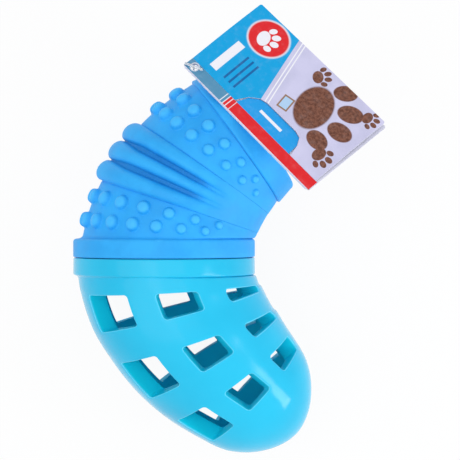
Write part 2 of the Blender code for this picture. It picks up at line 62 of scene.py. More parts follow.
# Rings of each half: across, away from the seam, lean in degrees, radius
SLEEVE_RINGS = np.array([
    (1.8, 7.6, 0.0, 32.5),
    (3.4, 13.2, 9.0, 31.8),
    (5.9, 19.0, 18.5, 30.9),
    (10.2, 26.4, 26.5, 30.1),
    (15.2, 33.0, 35.0, 29.2),
    (20.6, 38.3, 44.0, 28.2),
    (26.6, 43.2, 54.0, 27.1),
])
CAGE_RINGS = np.array([
    (1.2, 7.4, 0.0, 33.6),
    (2.3, 12.0, 3.1, 33.6),
    (5.4, 19.9, 14.3, 32.8),
    (11.0, 29.4, 18.6, 31.9),
    (17.6, 37.2, 31.9, 30.1),
    (24.8, 44.8, 36.7, 28.1),
    (33.2, 51.2, 47.8, 25.3),
])
LAST_RING = 6
SLEEVE_WALL = 4.4
CAGE_WALL = 6.8

# Plain bands: how far from the seam the straight part and the rounded shoulder start
BAND_STRAIGHT_START, BAND_SHOULDER_START = 2.4, 5.8
# For each half: the rounding at the seam, the end of the straight part and the radius of the shoulder
SLEEVE_SEAM_ROUND, SLEEVE_STRAIGHT_END, SLEEVE_SHOULDER = 0.55, 4.4, 1.2
CAGE_SEAM_ROUND, CAGE_STRAIGHT_END, CAGE_SHOULDER = 0.5, 4.2, 0.8
# Rings that the skin is drawn towards between each band and the first ring of its half
SLEEVE_WAIST = np.array([1.78, 7.05, 0.0, 32.5])
CAGE_WAIST = np.array([1.15, 6.75, 0.0, 33.62])
# From the seam and out of the band: the bevelled mouth of the socket
SOCKET_MOUTH = [(SEAM_FACE + 0.3, SOCKET_RADIUS - BAND_RADIUS), (SEAM_FACE, -3.9)]
# From the seam and out of the wall: the socket with its groove, and the neck with its bead
SOCKET_PROFILE = [
    (6.35, -1.9), (6.35, -0.3), (6.1, 0.0), (4.95, 0.0), (4.3, 0.75), (3.95, 0.9),
    (3.25, 0.9), (2.9, 0.75), (2.25, 0.0), (1.2, 0.0),
]
NECK_PROFILE = [
    (-6.0, -0.3), (-5.7, 0.0), (-4.6, 0.0), (-4.1, 0.7), (-3.8, 0.9), (-3.4, 0.9), (-3.1, 0.7),
    (-2.6, 0.0), (-1.4, 0.0), (SEAM_FACE, 0.0),
]

# Sleeve
SLEEVE_COLUMN_COUNT = 256
RIB_START, RIB_END = 2.0, 4.0
RIB_COUNT = 3
RIB_HEIGHT = 3.7
RIB_GROOVE_FLOOR = 0.8
RIB_GROOVE_CUT = -1.3
RIB_FADE = 1.15
RIB_FILL_OUTSIDE, RIB_FILL = 0.95, 0.73
RIB_TIPS = (88.0, 122.0)
RIB_ROW_COUNT = 24
# Between which shares of the way to the outside of the bend the rolls fill out and the grooves rise
RIB_FILL_SPREAD, RIB_GROOVE_SPREAD = (0.84, 0.99), (0.72, 1.0)
# How far a section stands out of the one below it, and over how many rings that dies away
SECTION_STEP, SECTION_TAPER = 0.12, 2.0
# The small soft step between two sections: ring positions from the border and how far each stands out
BORDER_PROFILE = [(-0.030, -0.02), (-0.010, -0.09), (0.010, 0.02), (0.034, 0.10)]
# Plain rows, in ring positions: the first, the gap to a border of the ribs and the gap to the last ring
FIRST_ROW, BORDER_GAP, LAST_ROW_GAP = 0.1, 0.06, 0.04
# How many plain rows there are below the ribs, above them and down the bore
LOW_ROW_COUNT, HIGH_ROW_COUNT, BORE_ROW_COUNT = 16, 18, 25
COLLAR_STEP = 0.9
COLLAR_HEIGHT = 8.6
COLLAR_TAPER = 1.5
COLLAR_FOOT, COLLAR_FOOT_ROUND = 0.75, 0.7
COLLAR_TAPER_START = 1.6
COLLAR_SHOULDER = 1.6
# From the top ring and out of its skin: the join to the collar's foot, then the insets of the flat rim
COLLAR_JOIN = [(-0.25, -0.02), (0.0, 0.05)]
RIM_INSETS = (-3.0, -4.0)
# Rounding inside the mouth and how far inside the top ring it lies, then the first points of the bore
MOUTH_ROUND, MOUTH_INSET = 0.7, 4.7
MOUTH_FLARE = [(5.0, -5.1), (2.5, -4.75)]
NUB_ROW_RING = [0.62, 1.45, 4.72, 5.43]
NUB_ROW_COUNT = [23, 21, 22, 20]
NUB_ROW_ANGLE = [83.0, 88.0, 85.0, 89.0]
NUB_ROW_BARE_ANGLE = [60.0, 50.0, 44.0, 50.0]
NUB_RADIUS_INNER = 0.9
NUB_RADIUS_OUTER = 3.0
NUB_FADE = 0.8
# From the foot of a nub to its top: distance from its axis and height, as shares of its radius
NUB_PROFILE = [
    (0.95, -0.35), (1.30, -0.04), (1.20, 0.0), (1.10, 0.05), (1.02, 0.16), (0.97, 0.32),
    (0.90, 0.49), (0.77, 0.66), (0.57, 0.78), (0.30, 0.85),
]
NUB_TOP = 0.87
NUB_SIDE_COUNT = 20
NUB_SIZE_SPREAD, NUB_SEED = 0.04, 7

# Cage
TIP_LENGTH = 23.4
TIP_FULLNESS = 1.55
TIP_ROUNDNESS = 1.8
TIP_STEP_COUNT = 60
# How far the crease at the last ring is smoothed, over how long a stretch, and on how many samples
EASE_REACH, EASE_STRETCH, EASE_SAMPLE_COUNT = 2.6, 6.0, 1200
WINDOW_ROWS = [(1, 2), (3, 4), (5, 6)]
WINDOW_COLUMNS = [42.0, 91.0, 140.5, 219.5, 269.0, 318.0]
WINDOW_ARCS = [35.0, 26.0, 35.0, 35.0, 26.0, 35.0]
WINDOW_CELL_ANGLES = [0.0, 69.0, 113.5, 180.0, 246.5, 291.0, 360.0]
WINDOW_CORNER = 1.3
WINDOW_EDGE = 0.4
# Corners of the mesh along each side of a cell and round each corner of its window
CELL_STEPS_ACROSS, CELL_STEPS_ALONG, CORNER_STEPS = 16, 10, 6
# Loops of corners from the cell's edge to the window's rim, as shares of the way, and round the rim
OUTER_SKIN_SHARES, INNER_SKIN_SHARES = (0.0, 0.3, 0.6, 0.85, 1.0), (0.6, 0.3, 0.0)
EDGE_TURNS = (22.5, 45.0, 67.5, 90.0)
# Steps of the tip that have a row of corners
TIP_FIRST_STEP = 8
TIP_STEPS = (*range(TIP_FIRST_STEP, 57, 4), 58, 59)
# How far past the cage's first ring the bend from the band ends and the plain rows start
CAGE_FIRST_ROW, CAGE_ROWS_START = 0.35, 0.5
# Inside of the neck, from the seam: where it starts and ends, and the bevel at its end
NECK_FOOT, NECK_END, NECK_BEVEL = -1.0, -6.0, 0.3

# Card tag: directions along its fold, across from the fold and out of its face, then its sizes
TAG_ORIGIN = np.array(JOINTS["tag_swing"]["pos_m"]) / MM
TAG_ALONG = np.array(JOINTS["leaf_fold"]["axis"])
TAG_OUT = np.array(JOINTS["tag_swing"]["axis"])
TAG_ACROSS = np.cross(TAG_OUT, TAG_ALONG)
CARD = 0.4
TAG_START, TAG_END = -3.3, 63.0
TAG_FOLD, TAG_CREASE, TAG_EDGE = -2.4, 2.4, 35.7
LEAF_END, LEAF_WIDTH = 62.2, 33.3
LEAF_SPRING = 3.0
LEAF_BOW = 0.35
SPINE_LEVEL = 0.95
SPINE_SIDE = 2.33
HOLE_CENTRE, HOLE_RADIUS = 0.5, 1.45
TONGUE = [
    (20.6, 0.0), (22.3, 4.2), (25.6, 6.9), (28.6, 7.6), (43.4, 7.6), (46.1, 6.9), (47.9, 4.2), (48.2, 0.0),
]
TONGUE_CLEARANCE = 0.09
TONGUE_END_GAP = 0.9
CARD_GRID = 2.0
CARD_CORNER = 0.5
# Millimetres of card for each unit of the map that the prints lie on
UV_SPAN = 100.0
HOLE_SIDE_COUNT = 28
FOLD_RADIUS = 0.375
FOLD_STEP_COUNT = 8

# Nylon pin
BAR_RADIUS = 0.5
BAR_LENGTH = 7.2
BAR_ANGLE = 25.0
STEM_RADIUS = 0.35
BAR_LEVEL = 2.0
HEAD_STEM_END = -1.4
BAR_SIDE_COUNT = 12
# Any direction that no part of the pin runs along
SLANTED_WAY = (0.31, 0.52, 0.79)
# From the seam's centre
STEM_ROUTE = [
    (11.70, 67.74, 17.91), (11.98, 67.35, 17.27), (12.69, 66.91, 16.99), (13.65, 66.42, 16.92),
    (14.69, 65.90, 16.91), (15.63, 65.33, 16.80), (16.28, 64.72, 16.43), (19.92, 59.71, 12.10),
]
COLLAR_AXIS = np.array([0.809017, 0.587785, 0.0])

# Camera and streak of light, in millimetres from the seam's centre and degrees
CAMERA_FROM_SEAM = np.array([24.797, 10.206, 467.6])
CAMERA_ANGLE = 21.06
STREAK_FROM_SEAM = np.array([44.0, -50.0, 19.0])

# Stage: the floor in millimetres, the lamps in metres and watts
FLOOR_HALF_SIZE, FLOOR_DROP = 900.0, 0.1
FLOOR_GREY, FLOOR_SEEN_SHARE = (0.86, 0.86, 0.87, 1), 0.92
SKY_TINT, SKY_STRENGTH = (0.98, 0.99, 1.0, 1), 0.72
WHITE = (1, 1, 1, 1)
LAMP_TARGET = (0.0, 0.0, 0.03)
OVERHEAD_PLACE, OVERHEAD_POWER = (-0.05, 0.10, 0.95), 1.5
SIDE_PLACE, SIDE_POWER = (-0.45, -0.15, 0.8), 1.7
SOFTBOX_SIZE = (0.8, 0.8)
STREAK_WAY, STREAK_ALONG = (0.43, -0.12, 0.17), (0.04, -0.145, -0.225)
STREAK_SIZE, STREAK_POWER = (0.12, 0.36), 0.85


# Rings and meshes


def ring_at(rings, position):
    """The ring at a fractional position, on a smooth curve through all of them."""
    last = len(rings) - 1
    index = min(int(position), last - 1)
    part = position - index
    before, start, end, after = (rings[min(max(index + step, 0), last)] for step in (-1, 0, 1, 2))
    leaving = (end - before) / 2 if index > 0 else end - start
    arriving = (after - start) / 2 if index < last - 1 else end - start
    square, cube = part**2, part**3
    return (
        (2 * cube - 3 * square + 1) * start
        + (cube - 2 * square + part) * leaving
        + (3 * square - 2 * cube) * end
        + (cube - square) * arriving
    )


def moved_along(ring, distance, widening=0.0):
    x, y, lean, radius = ring
    turn = math.radians(lean)
    return np.array([x + math.sin(turn) * distance, y + math.cos(turn) * distance, lean, radius + widening])


def ring_points(ring, angle, side):
    """Points on a ring by their angle from the outside of the bend. Side is 1 on the sleeve's half of
    the seam and -1 on the cage's."""
    x, y, lean, radius = ring
    turn, lean = np.radians(angle), np.radians(lean)
    across = -radius * np.cos(turn)
    return np.stack([
        x + across * np.cos(lean), side * (y - across * np.sin(lean)), radius * np.sin(turn),
    ], axis=-1)


def on_sleeve(ring, angle):
    return ring_points(ring, angle, 1) + SEAM_CENTRE


def turned_with_cage(points):
    turn = math.radians(CAGE_TWIST)
    x, y, z = np.moveaxis(points, -1, 0)
    across = x * math.cos(turn) + z * math.sin(turn)
    up = z * math.cos(turn) - x * math.sin(turn)
    return np.stack([across, y, up], -1) + SEAM_CENTRE


def arc(distance, widening, radius, start, end, count):
    """Points of a quarter round in the plane of a ring's axis and radius."""
    turns = np.radians(np.linspace(start, end, count + 1))
    return [(distance + radius * math.cos(turn), widening + radius * math.sin(turn)) for turn in turns]


def profile(base, points):
    return [moved_along(base, distance, widening) for distance, widening in points]


def band_rings(seam_round, straight_end, shoulder, shoulder_count):
    """Rings of a plain band, from the seam's face to the end of its rounded shoulder."""
    band = np.array([0.0, 0.0, 0.0, BAND_RADIUS])
    points = arc(SEAM_FACE + seam_round, -seam_round, seam_round, 180, 90, 5)
    points += [(BAND_STRAIGHT_START, 0.0), (straight_end, 0.0)]
    points += arc(BAND_SHOULDER_START, -shoulder, shoulder, 90, 0, shoulder_count)
    return profile(band, points)


def bezier(start, pull, end, count):
    """Rings on a smooth bend from one ring to another, drawn towards a third."""
    shares = [step / count for step in range(1, count)]
    return [(1 - s) ** 2 * start + 2 * s * (1 - s) * pull + s**2 * end for s in shares]


def new_object(name, data):
    made = bpy.data.objects.new(name, data)
    bpy.context.collection.objects.link(made)
    return made


def mesh_data(name, mesh):
    """Plain mesh data from a mesh under construction."""
    bmesh.ops.recalc_face_normals(mesh, faces=mesh.faces)
    data = bpy.data.meshes.new(name)
    mesh.to_mesh(data)
    mesh.free()
    return data


def made_piece(name, mesh, surfaces, sharp_angle=35.0):
    """Turn a mesh under construction, in millimetres, into a smooth object in metres."""
    for vert in mesh.verts:
        vert.co *= MM
    data = mesh_data(name, mesh)
    for surface in surfaces:
        data.materials.append(surface)
    data.shade_smooth()
    data.set_sharp_from_angle(angle=math.radians(sharp_angle))
    return new_object(name, data)


def add_rows(mesh, rows, looped=False):
    """Join round rows of points with faces, and the last row to the first if looped. A row with one
    point is a pole. Returns the rows of corners."""
    corners = [[mesh.verts.new(point) for point in np.asarray(row).reshape(-1, 3)] for row in rows]
    pairs = list(zip(corners, corners[1:]))
    if looped:
        pairs.append((corners[-1], corners[0]))
    for low, high in pairs:
        count = max(len(low), len(high))
        for step in range(count):
            following = (step + 1) % count
            if len(low) == 1:
                mesh.faces.new((low[0], high[following], high[step]))
            elif len(high) == 1:
                mesh.faces.new((low[step], low[following], high[0]))
            else:
                mesh.faces.new((low[step], low[following], high[following], high[step]))
    return corners


# Node helpers


def plug(tree, node, inputs):
    """Set or join inputs of a node, by name or number."""
    for key, value in inputs.items():
        if isinstance(value, bpy.types.NodeSocket):
            tree.links.new(value, node.inputs[key])
        else:
            node.inputs[key].default_value = value


def add(tree, kind, inputs=None, **settings):
    """A node with its settings and its inputs."""
    made = tree.nodes.new(kind)
    for name, value in settings.items():
        setattr(made, name, value)
    plug(tree, made, inputs or {})
    return made


def maths(tree, operation, *values, clamp=False):
    inputs = dict(enumerate(values))
    return add(tree, "ShaderNodeMath", inputs, operation=operation, use_clamp=clamp).outputs[0]


def vector_maths(tree, operation, *values, output=0):
    return add(tree, "ShaderNodeVectorMath", dict(enumerate(values)), operation=operation).outputs[output]


def scaled(tree, vector, factor):
    return add(tree, "ShaderNodeVectorMath", {0: vector, "Scale": factor}, operation="SCALE").outputs[0]


def smooth_step(tree, value, low, high, at_low=0.0, at_high=1.0):
    made = add(tree, "ShaderNodeMapRange", {
        "Value": value, "From Min": low, "From Max": high, "To Min": at_low, "To Max": at_high,
    }, interpolation_type="SMOOTHSTEP")
    return made.outputs["Result"]


def geometry_tree(name, inputs):
    """An empty Geometry Nodes tree with a geometry socket at both ends and named inputs."""
    tree = bpy.data.node_groups.new(name, "GeometryNodeTree")
    tree.interface.new_socket("Geometry", in_out="INPUT", socket_type="NodeSocketGeometry")
    for title, kind in inputs.items():
        tree.interface.new_socket(title, in_out="INPUT", socket_type=kind)
    tree.interface.new_socket("Geometry", in_out="OUTPUT", socket_type="NodeSocketGeometry")
    return tree, tree.nodes.new("NodeGroupInput").outputs


def close_tree(tree, geometry, surface):
    """End a tree in plain, smooth geometry with its material."""
    realized = add(tree, "GeometryNodeRealizeInstances", {"Geometry": geometry})
    smooth = add(tree, "GeometryNodeSetShadeSmooth", {"Geometry": realized.outputs[0]})
    painted = add(tree, "GeometryNodeSetMaterial", {"Geometry": smooth.outputs[0], "Material": surface})
    add(tree, "NodeGroupOutput", {"Geometry": painted.outputs[0]})


def attribute(tree, name, kind="FLOAT"):
    return add(tree, "GeometryNodeInputNamedAttribute", {"Name": name}, data_type=kind).outputs["Attribute"]


def shaped(made, tree, values):
    """Run a tree on an object once and keep the result as its plain mesh."""
    modifier = made.modifiers.new(tree.name, "NODES")
    modifier.node_group = tree
    for item in tree.interface.items_tree:
        if item.item_type == "SOCKET" and item.in_out == "INPUT" and item.name in values:
            modifier[item.identifier] = values[item.name]
    graph = bpy.context.evaluated_depsgraph_get()
    result = bpy.data.meshes.new_from_object(made.evaluated_get(graph))
    made.modifiers.remove(modifier)
    old = made.data
    made.data = result
    result.name = made.name
    bpy.data.meshes.remove(old)


def raise_ribs_tree():
    """Push the skin out into fat rolls with grooves between them, which die away towards the inside
    of the bend."""
    sizes = ("Rib count", "Height", "Groove floor", "Groove cut", "Fill", "Fill outside", "Fade",
             "Tips start", "Tips end")
    tree, given = geometry_tree("raise_ribs", {
        **{size: "NodeSocketFloat" for size in sizes}, "Rubber": "NodeSocketMaterial",
    })
    calc = partial(maths, tree)
    share = attribute(tree, "rib_share")
    angle = attribute(tree, "bend_angle")
    outward = attribute(tree, "outward", "FLOAT_VECTOR")
    counted = calc("MULTIPLY", share, given["Rib count"])
    from_middle = calc("ABSOLUTE", calc("MULTIPLY_ADD", given["Rib count"], -0.5, counted))
    half_count = calc("MULTIPLY_ADD", given["Rib count"], 0.5, -0.5)
    outer_flank = calc("GREATER_THAN", from_middle, half_count)
    cosine = calc("COSINE", calc("RADIANS", angle))
    outside = calc("MULTIPLY_ADD", cosine, 0.5, 0.5)
    fill = smooth_step(tree, outside, *RIB_FILL_SPREAD, given["Fill"], given["Fill outside"])
    fill = calc("MAXIMUM", fill, outer_flank)
    off_crest = calc("ABSOLUTE", calc("MULTIPLY_ADD", calc("FRACT", counted), 2.0, -1.0))
    off_crest = calc("MINIMUM", calc("DIVIDE", off_crest, fill), 1.0)
    roll = calc("SQRT", calc("SUBTRACT", 1.0, calc("MULTIPLY", off_crest, off_crest)))
    crest = calc("MULTIPLY", calc("POWER", outside, given["Fade"]), given["Height"])
    floor = smooth_step(tree, outside, *RIB_GROOVE_SPREAD, given["Groove cut"], given["Groove floor"])
    inner_flank = calc("SUBTRACT", 1.0, outer_flank)
    floor = calc("MULTIPLY", floor, inner_flank)
    height = calc("MULTIPLY_ADD", roll, calc("SUBTRACT", crest, floor), floor)
    # How deep in a groove each corner lies, kept as fold for the painted shade in the grooves
    fold = calc("MULTIPLY", calc("SUBTRACT", 1.0, roll), inner_flank)
    folded = calc("PINGPONG", angle, 180.0)
    tips = smooth_step(tree, folded, given["Tips start"], given["Tips end"], 1.0, 0.0)
    ribbed = calc("GREATER_THAN", share, 0.0)
    for factor in (tips, ribbed):
        height = calc("MULTIPLY", height, factor)
        fold = calc("MULTIPLY", fold, factor)
    marked = add(tree, "GeometryNodeStoreNamedAttribute", {
        "Geometry": given["Geometry"], "Name": "fold", "Value": fold,
    }, data_type="FLOAT", domain="POINT")
    offset = scaled(tree, outward, height)
    raised = add(tree, "GeometryNodeSetPosition", {"Geometry": marked.outputs[0], "Offset": offset})
    close_tree(tree, raised.outputs[0], given["Rubber"])
    return tree


def plant_nubs_tree():
    """Stand a nub on each place and bend its foot onto the skin."""
    tree, given = geometry_tree("plant_nubs", {
        "Nub": "NodeSocketObject",
        "Places": "NodeSocketObject",
        "Size spread": "NodeSocketFloat",
        "Seed": "NodeSocketInt",
        "Rubber": "NodeSocketMaterial",
    })
    nub = add(tree, "GeometryNodeObjectInfo", {"Object": given["Nub"], "As Instance": True})
    places = add(tree, "GeometryNodeObjectInfo", {"Object": given["Places"]})
    spread = add(tree, "FunctionNodeRandomValue", {
        2: maths(tree, "SUBTRACT", 1.0, given["Size spread"]), 3: 1.0, "Seed": given["Seed"],
    }, data_type="FLOAT")
    radius = maths(tree, "MULTIPLY", attribute(tree, "nub_radius"), spread.outputs[1])
    outward = attribute(tree, "outward", "FLOAT_VECTOR")
    sized = add(tree, "GeometryNodeStoreNamedAttribute", {
        "Geometry": places.outputs["Geometry"], "Name": "nub_radius", "Value": radius,
    }, data_type="FLOAT", domain="POINT")
    upright = add(tree, "FunctionNodeAlignRotationToVector", {"Vector": outward}, axis="Z")
    stood = add(tree, "GeometryNodeInstanceOnPoints", {
        "Points": sized.outputs[0], "Instance": nub.outputs["Geometry"],
        "Rotation": upright.outputs[0], "Scale": attribute(tree, "nub_radius"),
    })
    nubs = add(tree, "GeometryNodeRealizeInstances", {"Geometry": stood.outputs[0]}).outputs[0]
    rise = maths(tree, "MULTIPLY", attribute(tree, "rise"), attribute(tree, "nub_radius"))
    position = add(tree, "GeometryNodeInputPosition").outputs[0]
    ground = vector_maths(tree, "SUBTRACT", position, scaled(tree, outward, rise))
    normal = add(tree, "GeometryNodeInputNormal").outputs[0]
    skin_place, skin_normal = (
        add(tree, "GeometryNodeSampleNearestSurface", {
            "Mesh": given["Geometry"], "Value": value, "Sample Position": ground,
        }, data_type="FLOAT_VECTOR").outputs["Value"]
        for value in (position, normal)
    )
    standing = vector_maths(tree, "ADD", skin_place, scaled(tree, skin_normal, rise))
    seated = add(tree, "GeometryNodeSetPosition", {"Geometry": nubs, "Position": standing})
    joined = add(tree, "GeometryNodeJoinGeometry")
    tree.links.new(seated.outputs[0], joined.inputs[0])
    tree.links.new(given["Geometry"], joined.inputs[0])
    close_tree(tree, joined.outputs[0], given["Rubber"])
    return tree


# Materials


def surface_material(name, roughness, specular):
    made = bpy.data.materials.new(name)
    made.use_nodes = True
    tree = made.node_tree
    shader = tree.nodes["Principled BSDF"]
    plug(tree, shader, {"Roughness": roughness, "Specular IOR Level": specular})
    return made, tree, shader


def on_object(tree):
    return add(tree, "ShaderNodeTexCoord").outputs["Object"]


def marked_share(tree, name):
    """A share that was kept on the corners of the mesh."""
    return add(tree, "ShaderNodeAttribute", attribute_name=name).outputs["Fac"]


def noise(tree, coordinates, scale, detail=3.0, roughness=0.5):
    return add(tree, "ShaderNodeTexNoise", {
        "Vector": coordinates, "Scale": scale, "Detail": detail, "Roughness": roughness,
    }).outputs["Fac"]


def mixed(tree, share, *colours):
    """A colour between two, each a socket or red, green and blue."""
    first, second = ((*colour, 1) if isinstance(colour, tuple) else colour for colour in colours)
    made = add(tree, "ShaderNodeMix", {0: share, 6: first, 7: second}, data_type="RGBA")
    return made.outputs[2]


def bumped(tree, height, strength, distance, before=None):
    inputs = {"Height": height, "Strength": strength, "Distance": distance}
    if before:
        inputs["Normal"] = before
    return add(tree, "ShaderNodeBump", inputs).outputs[0]


RUBBER_BLUES = [(0.014, 0.365, 0.86), (0.024, 0.425, 0.94)]
# Rubber: painted shade for hollows and grooves, painted highlight for crests and nub tops, and dust specks
RUBBER_PAINTED_SHADE, RUBBER_PAINTED_HIGHLIGHT, RUBBER_DUST = (0.002, 0.19, 0.55), (0.055, 0.500, 1.0), (0.05, 0.45, 0.95)
PLASTIC_CYANS = [(0.008, 0.490, 0.775), (0.016, 0.540, 0.835)]
# Plastic: a painted highlight for the windows' rims, and the walls' greener tint painted brighter for light
# through the plastic
PLASTIC_PAINTED_RIM_HIGHLIGHT, PLASTIC_WALL_TINT_AND_PAINTED_LIGHT = (0.14, 0.74, 1.0), (0.006, 0.62, 0.82)
PLASTIC_IOR, NYLON_IOR = 1.34, 1.5
NYLON_WHITES = [(0.80, 0.84, 0.90), (0.93, 0.95, 0.98)]


def rubber_material():
    """Matt blue rubber: cloudy colour, dust specks and a fine moulded grain, with painted shade in the
    hollows and grooves and a painted highlight on the crests and nub tops.
    """
    made, tree, shader = surface_material("blue_rubber_finish", 0.5, 0.32)
    place = on_object(tree)
    clouds = noise(tree, place, 70.0, 4.0, 0.6)
    speckle = noise(tree, place, 900.0, 2.0)
    cloudy = mixed(tree, smooth_step(tree, clouds, 0.35, 0.65), *RUBBER_BLUES)
    curvature = add(tree, "ShaderNodeNewGeometry").outputs["Pointiness"]
    folds = marked_share(tree, "fold")
    # Painted shade: darker in concave places and in the grooves between the ribs
    painted_hollow_shade = maths(tree, "MAXIMUM", smooth_step(tree, curvature, 0.40, 0.495, 0.75, 0.0),
                    smooth_step(tree, folds, 0.35, 0.95, 0.0, 0.7))
    cloudy = mixed(tree, painted_hollow_shade, cloudy, RUBBER_PAINTED_SHADE)
    # Painted highlight: paler on sharp crests and on the tops of the nubs
    risen = marked_share(tree, "rise")
    painted_crest_highlight = maths(tree, "MAXIMUM", smooth_step(tree, curvature, 0.50, 0.58, 0.0, 0.5),
                   smooth_step(tree, risen, 0.4, 0.8, 0.0, 0.8))
    colour = mixed(tree, painted_crest_highlight, cloudy, RUBBER_PAINTED_HIGHLIGHT)
    dusty = mixed(tree, smooth_step(tree, speckle, 0.55, 0.75, 0.0, 0.12), colour, RUBBER_DUST)
    grain = bumped(tree, speckle, 0.25, 0.00006)
    waves = bumped(tree, noise(tree, place, 160.0, 3.0), 0.35, 0.00018, grain)
    roughness = smooth_step(tree, clouds, 0.3, 0.7, 0.46, 0.62)
    plug(tree, shader, {"Base Color": dusty, "Roughness": roughness, "Normal": waves})
    return made


def plastic_material():
    """Glossy cyan plastic with a little sink and fine scuffs, a painted highlight on the windows' rims,
    matt walls and inside, and a greener tint there painted brighter for light through the plastic."""
    made, tree, shader = surface_material("cyan_plastic_finish", 0.2, 0.5)
    place = on_object(tree)
    clouds = noise(tree, place, 28.0, 3.0)
    colour = mixed(tree, smooth_step(tree, clouds, 0.35, 0.65), *PLASTIC_CYANS)
    scuffs = noise(tree, place, 180.0, 4.0, 0.6)
    depth = marked_share(tree, "wall_depth")
    matt = smooth_step(tree, depth, 0.02, 0.12)
    # Painted highlight along the windows' rounded rims
    colour = mixed(tree, smooth_step(tree, depth, 0.0, 0.01, 0.0, 0.8), colour, PLASTIC_PAINTED_RIM_HIGHLIGHT)
    # Walls and inside: a greener tint, painted brighter to stand in for light shining through the plastic
    colour = mixed(tree, matt, colour, PLASTIC_WALL_TINT_AND_PAINTED_LIGHT)
    roughness = smooth_step(tree, scuffs, 0.40, 0.75, 0.13, 0.24)
    sink = bumped(tree, noise(tree, place, 60.0, 2.5), 0.5, 0.0004)
    plug(tree, shader, {
        "Base Color": colour,
        "IOR": PLASTIC_IOR,
        "Roughness": maths(tree, "MULTIPLY_ADD", matt, 0.35, roughness),
        "Specular IOR Level": maths(tree, "MULTIPLY_ADD", matt, -0.42, 0.5),
        "Normal": bumped(tree, scuffs, 0.05, 0.00003, sink),
    })
    return made


def nylon_material():
    """Clear nylon, a little milky."""
    made, tree, shader = surface_material("clear_nylon_finish", 0.28, 0.5)
    milky = noise(tree, on_object(tree), 900.0, 2.0)
    plug(tree, shader, {
        "Base Color": mixed(tree, milky, *NYLON_WHITES),
        "Transmission Weight": 0.55,
        "IOR": NYLON_IOR,
        "Normal": bumped(tree, milky, 0.3, 0.00003),
    })
    return made


# Prints, in millimetres: place along and across the tag, width and height or a paw's size, turn in degrees
SLATE_END = 17.6
SPINE_RULES_ALONG, SPINE_RULE = (16.2, 17.6, 19.0), (0.0, 0.34, 10.0)
LAST_SPINE_RULE = (20.9, 0.0, 0.22, 10.0)
TONGUE_START = (2.32, 2.38)
TONGUE_BAR = (34.4, 6.4, 11.0, 1.1)
EYELET_RADIUS = 1.85
SPINE_EDGE = (-2.1, -1.85)
PANEL_SLANT, PANEL_END = 0.32, 28.0
PANEL_RULES, PANEL_RULE_WIDTH = (29.6, 31.0), 0.5
WIDE_BAR = (4.6, 9.8, 3.6, 14.0)
THIN_BARS_ALONG, THIN_BAR = (10.4, 13.0, 15.6), (9.0, 0.9, 12.0)
DISC_RIM, DISC = (9.6, 25.4, 8.6, 7.4), (9.6, 25.4, 8.1, 6.9)
DISC_PAW = (9.6, 25.0, 7.4, -60.0)
BROWN_PAWS = [(45.5, 20.0, 21.0, -72.0), (34.0, 29.0, 6.0, -40.0), (57.0, 7.5, 6.5, -95.0),
              (58.0, 30.0, 5.5, -80.0)]
SMALL_BOX, SMALL_BOX_FILL = (33.0, 12.5, 4.5, 5.5, 10.0), (33.0, 12.5, 3.3, 4.3, 10.0)
# Soft edges: a blob's as a share of its size, a bar's in millimetres
BLOB_SOFTNESS, BAR_SOFTNESS = 0.06, 0.12
# A paw print of size 1: for its pad and each toe the place, half width, half height and lean
PAW_PARTS = [
    (0.0, -0.22, 0.42, 0.33, 0.0), (-0.50, 0.12, 0.15, 0.21, 20.0), (-0.19, 0.38, 0.16, 0.23, 8.0),
    (0.19, 0.38, 0.16, 0.23, -8.0), (0.50, 0.12, 0.15, 0.21, -20.0),
]


